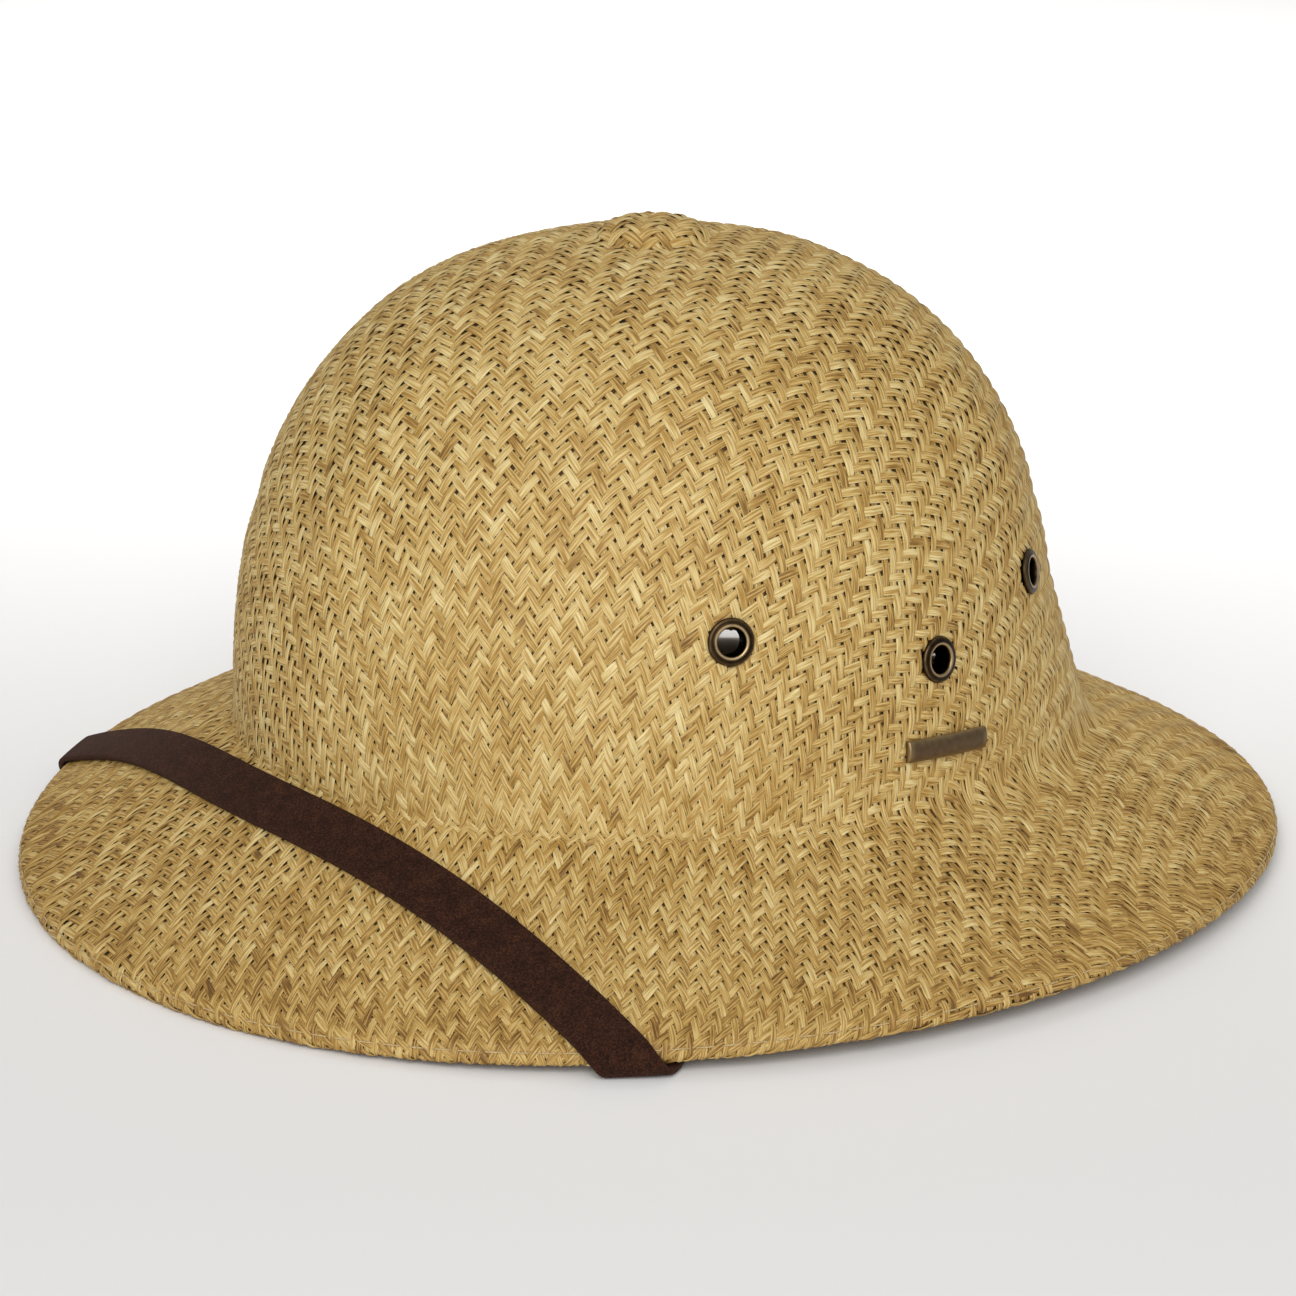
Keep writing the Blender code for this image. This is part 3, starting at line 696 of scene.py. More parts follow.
@dataclass(frozen=True)
class StrawFinish:
    """Twisted paper straw, calendered flat: matt, with fibres that run along each strand.

    The eye gets long fine streaks, tones that change from strand to strand and slowly along
    each one, and a faint gloss on the raised floats. The jumps set neighbouring strands' noise
    apart, so that no two look alike.
    """

    name: str = "calendered paper straw"
    dark: str = "#6A481A"
    ochre: str = "#AE8741"
    straw: str = "#CBAE6C"
    pale: str = "#E6D49C"
    fibre_width_mm: float = 0.36
    fibre_length_mm: float = 9.0
    patch_length_mm: float = 14.0
    patch_jump: float = 7.3
    fibre_jump: float = 5.17
    relief: float = 0.05 * MM
    tone_stops: tuple[float, ...] = (0.16, 0.40, 0.60, 0.86)
    strand_weight: float = 0.16
    patch_weight: float = 0.45
    fibre_weight: float = 0.45
    fibre_contrast: float = 0.09
    brim_tone: float = -0.04
    tone_shift: float = -0.012

    def build(self) -> bpy.types.Material:
        """Return the material, which reads the strands' own UV map."""
        material, tree = new_material(self.name)
        uv = add_node(tree, "UVMap", {"uv_map": Weave.UV_NAME})
        place = add_node(tree, "SeparateXYZ", None, Vector=uv.outputs[0])
        along, lane = place.outputs["X"], place.outputs["Y"]
        strand = add_node(tree, "Math", {"operation": "FLOOR"}, i0=lane).outputs[0]
        across = add_node(tree, "Math", {"operation": "FRACT"}, i0=lane).outputs[0]
        tone = add_node(tree, "TexWhiteNoise", {"noise_dimensions": "1D"}, W=strand).outputs["Value"]
        patches = self.noise(tree, along, 1.0 / self.patch_length_mm, strand, self.patch_jump, 2.0)
        lanes = add_node(tree, "Math", {"operation": "MULTIPLY_ADD"}, i0=strand,
                         i1=self.fibre_jump, i2=across).outputs[0]
        fibres = self.noise(tree, along, 1.0 / self.fibre_length_mm, lanes,
                            Weave.WIDTH / MM / self.fibre_width_mm, 3.0)
        brim = add_node(tree, "Attribute", {"attribute_name": Weave.BRIM_NAME}).outputs["Fac"]
        mixed = self.mix_tones(tree, tone, patches, fibres, brim)
        ramp = add_node(tree, "ValToRGB", None, Fac=mixed)
        tones = (self.dark, self.ochre, self.straw, self.pale)
        colour = set_ramp(ramp, list(zip(self.tone_stops, tones)))
        rough = add_node(tree, "MapRange", None, Value=fibres, From_Min=0.3, From_Max=0.7, To_Min=0.52,
                         To_Max=0.72)
        bump = add_node(tree, "Bump", None, Strength=0.8, Distance=self.relief, Height=fibres)
        set_surface(tree, Base_Color=colour, Roughness=rough.outputs[0], Normal=bump.outputs[0],
                    Specular_IOR_Level=0.4)
        return material

    @staticmethod
    def noise(tree: bpy.types.NodeTree, along: bpy.types.NodeSocket, along_scale: float,
              lane: bpy.types.NodeSocket, lane_scale: float, detail: float) -> bpy.types.NodeSocket:
        """Add noise that is stretched along the strands.

        Args:
            tree: The material's tree.
            along: Distance along the strand, in millimetres.
            along_scale: Cycles in a millimetre.
            lane: Position across the strands.
            lane_scale: Cycles across one strand.
            detail: The noise's detail.

        Returns:
            The noise's value.
        """
        long_way = add_node(tree, "Math", {"operation": "MULTIPLY"}, i0=along, i1=along_scale)
        wide_way = add_node(tree, "Math", {"operation": "MULTIPLY"}, i0=lane, i1=lane_scale)
        vector = add_node(tree, "CombineXYZ", None, X=long_way.outputs[0], Y=wide_way.outputs[0])
        node = add_node(tree, "TexNoise", {"noise_dimensions": "2D"}, Vector=vector.outputs[0], Scale=1.0,
                        Detail=detail, Roughness=0.55)
        return node.outputs[0]

    def mix_tones(self, tree: bpy.types.NodeTree, tone: bpy.types.NodeSocket,
                  patches: bpy.types.NodeSocket, fibres: bpy.types.NodeSocket,
                  brim: bpy.types.NodeSocket) -> bpy.types.NodeSocket:
        """Blend the strand's tone, its slow patches and its fibres, and darken the brim.

        Args:
            tree: The material's tree.
            tone: Tone of the whole strand.
            patches: Slow changes along it.
            fibres: Fine streaks.
            brim: 0 on the crown and 1 on the brim, with the pressed bands added.

        Returns:
            Where the straw's ramp is read.
        """
        strand_part = add_node(tree, "Math", {"operation": "MULTIPLY"}, i0=tone, i1=self.strand_weight)
        patch_part = add_node(tree, "Math", {"operation": "MULTIPLY_ADD"}, i0=patches,
                              i1=self.patch_weight, i2=strand_part.outputs[0])
        crisp = add_node(tree, "MapRange", None, Value=fibres, From_Min=0.42, From_Max=0.58,
                         To_Min=-self.fibre_contrast, To_Max=self.fibre_contrast)
        soft = add_node(tree, "Math", {"operation": "MULTIPLY_ADD"}, i0=fibres, i1=self.fibre_weight,
                        i2=patch_part.outputs[0])
        both = add_node(tree, "Math", {"operation": "ADD"}, i0=soft.outputs[0], i1=crisp.outputs[0])
        toned = add_node(tree, "Math", {"operation": "MULTIPLY_ADD"}, i0=brim, i1=self.brim_tone,
                         i2=both.outputs[0])
        level = add_node(tree, "Math", {"operation": "ADD"}, i0=toned.outputs[0], i1=self.tone_shift)
        return level.outputs[0]


@dataclass(frozen=True)
class BackingFinish:
    """Stiffened straw cloth behind the strands: dull, darker and finely woven. On the backing's outer face
    the darker colour is painted shade, standing for the shade in the gaps between the strands.
    """

    name: str
    dark: str
    light: str
    thread_spacing_mm: float = 1.3
    patch_mm: float = 8.33
    woven_weight: float = 0.6

    def build(self) -> bpy.types.Material:
        """Return the material, which reads the backing's own UV map in millimetres."""
        material, tree = new_material(self.name)
        uv = add_node(tree, "UVMap", {"uv_map": Weave.UV_NAME})
        scale = 1.0 / self.thread_spacing_mm
        waves = []
        for direction in ("X", "Y"):
            node = add_node(tree, "TexWave", {"bands_direction": direction}, Vector=uv.outputs[0],
                            Scale=scale / 2.0, Distortion=1.2, Detail=1.0)
            waves.append(node.outputs["Fac"])
        woven = add_node(tree, "Math", {"operation": "MULTIPLY"}, i0=waves[0], i1=waves[1])
        patch = add_node(tree, "TexNoise", None, Vector=uv.outputs[0], Scale=1.0 / self.patch_mm,
                         Detail=3.0)
        mixed = add_node(tree, "Math", {"operation": "MULTIPLY_ADD"}, i0=woven.outputs[0],
                         i1=self.woven_weight, i2=patch.outputs[0])
        ramp = add_node(tree, "ValToRGB", None, Fac=mixed.outputs[0])
        colour = set_ramp(ramp, [(0.35, self.dark), (0.95, self.light)])
        bump = add_node(tree, "Bump", None, Strength=0.9, Distance=0.2 * MM, Height=woven.outputs[0])
        set_surface(tree, Base_Color=colour, Roughness=0.85, Normal=bump.outputs[0])
        return material


@dataclass(frozen=True)
class SuedeFinish:
    """Split suede: buffed nap with no gloss, mottled where it has been brushed.

    The eye gets a soft dark brown, faintly mottled, with a slight bloom at grazing angles.
    """

    name: str = "buffed split suede"
    deep: str = "#1C0D08"
    brown: str = "#311B11"
    worn: str = "#4A2C1D"
    nap_mm: float = 0.50
    mottle_mm: float = 4.0
    nap_weight: float = 1.8
    level_range: tuple[float, float] = (1.02, 1.82)

    def build(self) -> bpy.types.Material:
        """Return the material, which reads Object coordinates."""
        material, tree = new_material(self.name)
        place = add_node(tree, "TexCoord").outputs["Object"]
        nap = add_node(tree, "TexNoise", None, Vector=place, Scale=1.0 / (self.nap_mm * MM), Detail=3.0,
                       Roughness=0.7).outputs[0]
        mottle = add_node(tree, "TexNoise", None, Vector=place, Scale=1.0 / (self.mottle_mm * MM),
                          Detail=6.0, Roughness=0.72).outputs[0]
        mixed = add_node(tree, "Math", {"operation": "MULTIPLY_ADD"}, i0=nap, i1=self.nap_weight,
                         i2=mottle)
        level = add_node(tree, "MapRange", None, Value=mixed.outputs[0],
                         From_Min=self.level_range[0], From_Max=self.level_range[1])
        ramp = add_node(tree, "ValToRGB", None, Fac=level.outputs[0])
        colour = set_ramp(ramp, [(0.05, self.deep), (0.5, self.brown), (0.95, self.worn)])
        bump = add_node(tree, "Bump", None, Strength=0.9, Distance=0.16 * MM, Height=nap)
        set_surface(tree, Base_Color=colour, Roughness=0.95, Normal=bump.outputs[0],
                    Specular_IOR_Level=0.15, Sheen_Weight=0.10, Sheen_Roughness=0.5,
                    Sheen_Tint=hex_colour("#B08A78"))
        return material


@dataclass(frozen=True)
class CutEdgeFinish:
    """The strap's cut edge: bare fibres, a little lighter than the nap."""

    name: str = "cut suede edge"
    dark: str = "#2B180F"
    light: str = "#4C3020"
    fibre_mm: float = 0.4

    def build(self) -> bpy.types.Material:
        """Return the material, which reads Object coordinates."""
        material, tree = new_material(self.name)
        place = add_node(tree, "TexCoord").outputs["Object"]
        fibre = add_node(tree, "TexNoise", None, Vector=place, Scale=1.0 / (self.fibre_mm * MM), Detail=4.0,
                         Roughness=0.7).outputs[0]
        ramp = add_node(tree, "ValToRGB", None, Fac=fibre)
        colour = set_ramp(ramp, [(0.35, self.dark), (0.7, self.light)])
        bump = add_node(tree, "Bump", None, Strength=1.0, Distance=0.12 * MM, Height=fibre)
        set_surface(tree, Base_Color=colour, Roughness=0.95, Normal=bump.outputs[0],
                    Specular_IOR_Level=0.2)
        return material


@dataclass(frozen=True)
class BrassFinish:
    """Antique brass: plated, blackened and relieved, so that only its high places are bright.

    The wear attribute of the piece says where the black has been rubbed off.
    """

    name: str
    black: str = "#18120D"
    bronze: str = "#4A3A26"
    bright: str = "#B39A74"
    roughness: float = 0.34
    roughness_range: float = 0.16
    blotch_mm: float = 1.6
    blotch_weight: float = 0.35
    grain_mm: float = 0.5

    WEAR_NAME = "wear"

    def build(self) -> bpy.types.Material:
        """Return the material, which reads Object coordinates and the wear attribute."""
        material, tree = new_material(self.name)
        place = add_node(tree, "TexCoord").outputs["Object"]
        wear = add_node(tree, "Attribute", {"attribute_name": self.WEAR_NAME}).outputs["Fac"]
        blotch = add_node(tree, "TexNoise", None, Vector=place, Scale=1.0 / (self.blotch_mm * MM),
                          Detail=4.0, Roughness=0.65).outputs[0]
        grain = add_node(tree, "TexNoise", None, Vector=place, Scale=1.0 / (self.grain_mm * MM),
                         Detail=2.0).outputs[0]
        rubbed = add_node(tree, "Math", {"operation": "MULTIPLY_ADD"}, i0=blotch,
                          i1=self.blotch_weight, i2=wear)
        ramp = add_node(tree, "ValToRGB", None, Fac=rubbed.outputs[0])
        colour = set_ramp(ramp, [(0.18, self.black), (0.55, self.bronze), (1.0, self.bright)])
        rough = add_node(tree, "MapRange", None, Value=blotch, From_Min=0.3, From_Max=0.7,
                         To_Min=self.roughness, To_Max=self.roughness + self.roughness_range)
        bump = add_node(tree, "Bump", None, Strength=0.35, Distance=0.03 * MM, Height=grain)
        set_surface(tree, Base_Color=colour, Metallic=1.0, Roughness=rough.outputs[0],
                    Normal=bump.outputs[0])
        return material


@dataclass(frozen=True)
class ThreadFinish:
    """Waxed cotton sewing thread: pale, with a slight sheen and a fine twist."""

    name: str = "waxed cotton thread"
    light: str = "#D2BB86"
    shade: str = "#A08250"
    twist_mm: float = 0.3

    def build(self) -> bpy.types.Material:
        """Return the material, which reads Object coordinates."""
        material, tree = new_material(self.name)
        place = add_node(tree, "TexCoord").outputs["Object"]
        twist = add_node(tree, "TexNoise", None, Vector=place, Scale=1.0 / (self.twist_mm * MM),
                         Detail=2.0).outputs[0]
        ramp = add_node(tree, "ValToRGB", None, Fac=twist)
        colour = set_ramp(ramp, [(0.35, self.shade), (0.65, self.light)])
        bump = add_node(tree, "Bump", None, Strength=0.7, Distance=0.05 * MM, Height=twist)
        set_surface(tree, Base_Color=colour, Roughness=0.6, Normal=bump.outputs[0])
        return material


@dataclass(frozen=True)
class StudioFloorFinish:
    """Matt white studio paper, which gives no reflection and a soft contact shadow."""

    name: str = "matt studio paper"
    white: str = "#FBFAF9"
    tooth_mm: float = 1.11

    def build(self) -> bpy.types.Material:
        """Return the material."""
        material, tree = new_material(self.name)
        place = add_node(tree, "TexCoord").outputs["Object"]
        tooth = add_node(tree, "TexNoise", None, Vector=place, Scale=1.0 / (self.tooth_mm * MM),
                         Detail=2.0).outputs[0]
        bump = add_node(tree, "Bump", None, Strength=0.1, Distance=0.1 * MM, Height=tooth)
        set_surface(tree, Base_Color=hex_colour(self.white), Roughness=0.9, Normal=bump.outputs[0],
                    Specular_IOR_Level=0.2)
        return material


@dataclass(frozen=True)
class Pressing:
    """What pressing the matting flat does to its strands: a negative darkens makes them paler."""

    flattens: float
    widens: float
    darkens: float


@dataclass
class Weave:
    """The matting's strands: a two by two twill of flat paper straw along the drape.

    The strands' tops stand proud of the skin by one small height, and their backs by less where
    they pass under, along the hem's groove and on faces that look down.
    """

    skin: Skin
    drape: Drape
    vents: Sequence[Vent]
    spacing: float = 2.85 * MM
    half_count: int = 104
    stations_per_crossing: int = 2
    proud: float = 0.10 * MM
    thickness: float = 0.36 * MM
    over_under: float = 0.54 * MM
    arch: float = 1.3
    closeness: float = 0.94
    tight_top: float = 70.0 * MM
    tight_gain: float = 0.22
    lowest_width: float = 0.91
    arch_width: float = 0.07
    gauge_change: float = 0.12
    roll: float = 0.12
    vent_clearance: float = 1.2 * MM
    end_margin: float = 1.0 * MM
    shortest_run: int = 2
    wander: float = 0.34 * MM
    flattened_below: float = 0.22 * MM
    stitch_height: float = 3.7 * MM
    hem_groove_depth: float = 0.35 * MM
    hem_groove_width: float = 1.3 * MM
    hem_reach: tuple[float, float] = (18.0 * MM, 7.0 * MM)
    band_height: float = 9.0 * MM
    band_width: float = 8.0 * MM
    crease_blend: float = 1.5 * MM

    HEM = Pressing(flattens=0.35, widens=0.08, darkens=1.6)
    BAND = Pressing(flattens=0.25, widens=0.06, darkens=-0.4)
    UV_NAME = "along_and_lane"
    BRIM_NAME = "brim"
    WIDTH = 2.10 * MM
    TWILL_REPEAT = 4
    TWILL_FLOAT = 2
    LANES_APART = 512
    WANDER_CYCLES = (5.0, 11.0, 29.0)
    GAUGE_CYCLES = (7.0, 40.0, 400.0)
    ROLL_CYCLES = (6.0, 13.0, 31.0)
    WAVE_SIZES = (0.2, 1.0)
    WAVE_SUM = 1.8
    LANE_SHARES = (0.08, 0.5, 0.92, 0.08)
    STRAND_MERGE = 0.001 * MM
    SHARP = math.radians(70.0)

    def build(self, finish: bpy.types.Material) -> None:
        """Make the four pieces of strands: each family in two halves."""
        halves = {
            Family.WARP: (("warp_strands_right", -1), ("warp_strands_left", 1)),
            Family.WEFT: (("weft_strands_front", -1), ("weft_strands_back", 1)),
        }
        for family, pieces in halves.items():
            stations = self.stations(family)
            for name, side in pieces:
                self.build_half(name, side, stations, finish)

    def lanes(self) -> np.ndarray:
        """Return the strands' numbers."""
        return np.arange(-self.half_count, self.half_count + 1)

    def stations(self, family: Family) -> dict[str, np.ndarray]:
        """Work out every strand's stations of one family.

        Args:
            family: Which strands.

        Returns:
            Arrays with axes strand and station: point, side, outward, width, base, along, lane,
            brim and kept.
        """
        lanes = self.lanes()
        count = self.half_count * self.stations_per_crossing
        along = np.arange(-count, count + 1) / self.stations_per_crossing
        lane_grid, along_grid = np.meshgrid(lanes, along, indexing="ij")
        flat = np.stack([lane_grid, along_grid], -1) * self.spacing
        random = np.random.default_rng(SEED + family.value)
        flat[..., 0] += self.wander * self.waver(random, len(lanes), along, self.WANDER_CYCLES)
        if family is Family.WEFT:
            flat = flat[..., ::-1]
        azimuth, station = self.drape.at(flat)
        point, _, _ = self.skin.slopes(azimuth, station)
        outward = self.skin.outward(azimuth, station)
        ahead = np.gradient(point, axis=1)
        ahead /= np.maximum(np.linalg.norm(ahead, axis=-1, keepdims=True), Skin.SHORTEST)
        side = np.cross(outward, ahead)
        side /= np.maximum(np.linalg.norm(side, axis=-1, keepdims=True), Skin.SHORTEST)
        room = np.abs((np.gradient(point, axis=0) * side).sum(-1))
        hem, band = self.pressed_bands(station)
        lift = self.lifts(family, lanes, along)
        lift *= 1.0 - self.HEM.flattens * hem - self.BAND.flattens * band
        gauge = 1.0 + self.gauge_change * self.waver(random, len(lanes), along, self.GAUGE_CYCLES)
        widest = self.WIDTH * (1.0 + self.tight_gain * np.exp(-(station / self.tight_top) ** 2))
        width = np.minimum(widest, self.closeness * room) * gauge
        width *= self.lowest_width + self.arch_width * lift
        width *= 1.0 + self.HEM.widens * hem + self.BAND.widens * band
        rolled = self.roll * self.waver(random, len(lanes), along, self.ROLL_CYCLES)
        brim = smooth_ramp(station, *self.crease_stations())
        return {
            "point": point, "side": side + outward * rolled[..., None], "outward": outward,
            "width": width, "base": self.bases(lift, station, outward),
            "along": along_grid * self.spacing / MM,
            "lane": lane_grid + self.LANES_APART * (1 + family.value),
            "brim": brim + self.HEM.darkens * hem + self.BAND.darkens * band,
            "kept": self.keeps(point, station),
        }

    @classmethod
    def waver(cls, random: np.random.Generator, count: int, along: np.ndarray,
              cycles: Sequence[float]) -> np.ndarray:
        """Work out a slow waver of each strand, mostly between -1 and 1.

        Args:
            random: Where the strands' chance comes from.
            count: How many strands.
            along: Places along them, in crossings.
            cycles: Lengths of the waves, in crossings.

        Returns:
            The waver, with axes strand and station.
        """
        waver = np.zeros((count, len(along)))
        for cycle in cycles:
            phase = random.uniform(0.0, TURN, (count, 1))
            size = random.uniform(*cls.WAVE_SIZES, (count, 1)) / cls.WAVE_SUM
            waver += size * np.sin(along[None, :] * TURN / cycle + phase)
        return waver

    def lifts(self, family: Family, lanes: np.ndarray, along: np.ndarray) -> np.ndarray:
        """Work out where strands pass over and under: positive is over, negative is under.

        Args:
            family: Which strands.
            lanes: The strands' numbers.
            along: Places along them, in crossings.

        Returns:
            Lifts, with axes strand and station.
        """
        phase = lanes[:, None] + along[None, :]
        middle = (self.TWILL_FLOAT - 1) / 2.0
        shift = middle if family is Family.WARP else middle + self.TWILL_FLOAT
        return self.arch * np.cos((phase - shift) * TURN / self.TWILL_REPEAT)

    def bases(self, lift: np.ndarray, station: np.ndarray, outward: np.ndarray) -> np.ndarray:
        """Return the height of each strand's flat back outside the skin."""
        highest = self.proud - self.thickness
        pressed = self.hem_groove_depth * np.exp(
            -((station - self.stitch_station()) / self.hem_groove_width) ** 2)
        pressed += self.flattened_below * np.maximum(-outward[..., 2], 0.0)
        return highest - self.over_under * (1.0 - lift) / 2.0 - pressed

    def crease_stations(self) -> tuple[float, float]:
        """Return the distances from the top between which the crown turns into the brim."""
        level = self.skin.points[0, :, 2]
        crease = float(np.argmax(level < self.skin.form.brim_drop_ends)) * self.skin.step
        return crease - self.crease_blend, crease + self.crease_blend

    def pressed_bands(self, station: np.ndarray) -> tuple[np.ndarray, np.ndarray]:
        """Return how far the matting is pressed flat: along the hem, and just above the crease."""
        lip = self.stitch_station()
        hem = smooth_ramp(station, lip - self.hem_reach[0], lip - self.hem_reach[1])
        band_middle = self.crease_stations()[0] - self.band_height
        return hem, np.exp(-((station - band_middle) / self.band_width) ** 2)

    def stitch_station(self) -> float:
        """Return the distance from the top of the hem's stitch line."""
        form = self.skin.form
        edge = form.wall / 2.0
        straight = form.lip_height - form.inner_corner_share * form.lip_radius - edge
        lower_edge = self.skin.length - form.turned_under - straight - math.pi * edge
        return lower_edge - (self.stitch_height - edge)

    def keeps(self, point: np.ndarray, station: np.ndarray) -> np.ndarray:
        """Return True where a strand lies on the form and clear of the vent holes."""
        kept = (station > 0.0) & (station < self.skin.length - self.end_margin)
        for vent in self.vents:
            away = np.linalg.norm(point - np.array(vent.centre), axis=-1)
            kept &= away > vent.radius - self.vent_clearance
        return kept

    def build_half(self, name: str, side: int, stations: dict[str, np.ndarray],
                   finish: bpy.types.Material) -> None:
        """Make one piece of strands.

        Args:
            name: The piece's name.
            side: -1 for the strands before the middle, 1 for the rest.
            stations: What stations() gave.
            finish: The straw.
        """
        lanes = self.lanes()
        chosen = lanes < 0 if side < 0 else lanes >= 0
        rows = []
        for lane in np.flatnonzero(chosen):
            kept = np.concatenate([[False], stations["kept"][lane], [False]])
            switches = np.flatnonzero(kept[1:] != kept[:-1])
            for start, end in zip(switches[::2], switches[1::2]):
                if end - start > self.shortest_run:
                    rows.append((lane, np.arange(start, end)))
        lane_index = np.concatenate([np.full(len(places), lane) for lane, places in rows])
        place_index = np.concatenate([places for _, places in rows])
        breaks = np.cumsum([len(places) for _, places in rows])[:-1]
        picked = {key: values[lane_index, place_index] for key, values in stations.items()}
        mesh = self.tubes(picked, set(breaks.tolist()))
        replaces = ("helmet_shell",) if name == "warp_strands_left" else ()
        finish_piece(name, mesh, Slot.STRAW, [finish], replaces)

    def tubes(self, picked: dict[str, np.ndarray], breaks: set[int]) -> bpy.types.Mesh:
        """Make closed three-sided strands from one long grid, cut where each strand ends.

        Args:
            picked: Stations of all the strands, one strand after another.
            breaks: Where each strand but the first starts.

        Returns:
            The mesh, with the distance along and the lane as its UV map.
        """
        edge = picked["side"] * (picked["width"] / 2.0)[:, None]
        back = picked["point"] + picked["outward"] * picked["base"][:, None]
        ridge = back + picked["outward"] * self.thickness
        rails = [back + edge, ridge, back - edge, back + edge]
        count = len(back)
        shape = bmesh.new()
        bmesh.ops.create_grid(shape, x_segments=count - 1, y_segments=3, size=1.0)
        shape.verts.ensure_lookup_table()
        for row, rail in enumerate(rails):
            for column, point in enumerate(rail.tolist()):
                shape.verts[row * count + column].co = point
        joins = [face for face in shape.faces
                 if max(vertex.index % count for vertex in face.verts) in breaks]
        bmesh.ops.delete(shape, geom=joins, context="FACES_ONLY")
        loose = [edge for edge in shape.edges if not edge.link_faces]
        bmesh.ops.delete(shape, geom=loose, context="EDGES")
        layer = shape.verts.layers.float_vector.new("flat")
        brim_layer = shape.verts.layers.float.new(self.BRIM_NAME)
        along, lane, brim = (picked[key].tolist() for key in ("along", "lane", "brim"))
        for vertex in shape.verts:
            row, column = divmod(vertex.index, count)
            vertex[layer] = (along[column], lane[column] + self.LANE_SHARES[row], 0.0)
            vertex[brim_layer] = brim[column]
        bmesh.ops.remove_doubles(shape, verts=shape.verts, dist=self.STRAND_MERGE)
        bmesh.ops.holes_fill(shape, edges=shape.edges, sides=3)
        bmesh.ops.recalc_face_normals(shape, faces=shape.faces)
        return self.to_mesh(shape)

    @classmethod
    def to_mesh(cls, shape: bmesh.types.BMesh) -> bpy.types.Mesh:
        """Turn a bmesh into a smooth mesh with a UV map from its flat layer."""
        mesh = mesh_from(shape, "strands")
        flat = np.zeros(len(mesh.vertices) * 3, np.float32)
        mesh.attributes["flat"].data.foreach_get("vector", flat)
        corner = np.zeros(len(mesh.loops), np.int32)
        mesh.loops.foreach_get("vertex_index", corner)
        uv = mesh.uv_layers.new(name=cls.UV_NAME)
        uv.data.foreach_set("uv", flat.reshape(-1, 3)[corner, :2].ravel())
        mesh.attributes.remove(mesh.attributes["flat"])
        mesh.shade_smooth()
        mesh.set_sharp_from_angle(angle=cls.SHARP)
        return mesh


@dataclass
class Backing:
    """The stiff shell that the matting is pressed on, which closes the weave from behind."""

    skin: Skin
    vents: Sequence[Vent]
    depth: float = 1.05 * MM
    azimuths: int = 180
    outer_rows: int = 90
    inner_rows: int = 60
    outer_margin: float = 1.2 * MM
    drill_radius: float = 4.7 * MM
    drill_depth: float = 20.0 * MM
    drill_sides: int = 40

    def build(self, open_side: bpy.types.Material, gap_shade_side: bpy.types.Material) -> None:
        """Make the backing with its vent holes."""
        outer_end = self.skin.length - self.outer_margin
        inner_start = self.hem_bottom()
        outer = np.linspace(0.0, outer_end, self.outer_rows)
        inner = np.linspace(inner_start, 0.0, self.inner_rows)
        wall = self.skin.form.wall
        stations = [(station, -self.depth) for station in outer]
        stations += [(station, -wall) for station in inner]
        shape = self.closed_shell(stations)
        mesh = Weave.to_mesh(shape)
        mesh.materials.append(open_side)
        # The second material, on the outer face, is darker: painted shade that shows through the gaps
        # between the strands.
        mesh.materials.append(gap_shade_side)
        shell = link_object("straw_backing_uncut", mesh)
        drills = [self.drill(shell, vent) for vent in self.vents]
        cut = bpy.data.meshes.new_from_object(
            shell.evaluated_get(bpy.context.evaluated_depsgraph_get()))
        for helper in [shell, *drills]:
            bpy.data.objects.remove(helper)
        finish_piece("straw_backing", cut, Slot.STRAW, [])

    def hem_bottom(self) -> float:
        """Return the distance from the top where the inner face meets the turned hem."""
        return self.skin.length - 2.0 * self.skin.form.turned_under - self.skin.form.wall * math.pi

    def closed_shell(self, stations: Sequence[tuple[float, float]]) -> bmesh.types.BMesh:
        """Make the closed shell from rings that run down its outside and back up its inside.

        Args:
            stations: Distance from the top and offset outside the skin, for each ring.

        Returns:
            The shell, with its UV in millimetres in the flat layer.
        """
        rows = len(stations)
        shape = bmesh.new()
        bmesh.ops.create_grid(shape, x_segments=self.azimuths, y_segments=rows - 1, size=1.0)
        layer = shape.verts.layers.float_vector.new("flat")
        turns = np.arange(self.azimuths + 1) * TURN / self.azimuths
        columns = self.azimuths + 1
        places = []
        for station, offset in stations:
            at = np.full(columns, station)
            places.append(self.skin.place(turns, at, np.full(columns, offset)))
        for vertex in shape.verts:
            row, column = divmod(vertex.index, columns)
            vertex.co = places[row][column]
            run = stations[row][0] / MM
            vertex[layer] = (run * math.sin(turns[column]), run * math.cos(turns[column]), 0)
        for face in shape.faces:
            lowest_row = min(vertex.index for vertex in face.verts) // columns
            # Outer faces take the second, darker material, which is painted shade for the gaps between the
            # strands; inner faces take the first.
            face.material_index = int(lowest_row < self.outer_rows)
        bmesh.ops.remove_doubles(shape, verts=shape.verts, dist=MERGE_DISTANCE)
        bmesh.ops.recalc_face_normals(shape, faces=shape.faces)
        return shape

    def drill(self, shell: bpy.types.Object, vent: Vent) -> bpy.types.Object:
        """Cut one vent hole with a plain drill, and return the drill."""
        shape = bmesh.new()
        bmesh.ops.create_cone(shape, cap_ends=True, segments=self.drill_sides,
                              radius1=self.drill_radius, radius2=self.drill_radius,
                              depth=self.drill_depth)
        shape.transform(vent.place())
        drill = link_object("vent_drill", mesh_from(shape, "vent_drill"))
        hole = shell.modifiers.new("vent", "BOOLEAN")
        hole.operation = "DIFFERENCE"
        hole.solver = "EXACT"
        hole.object = drill
        return drill


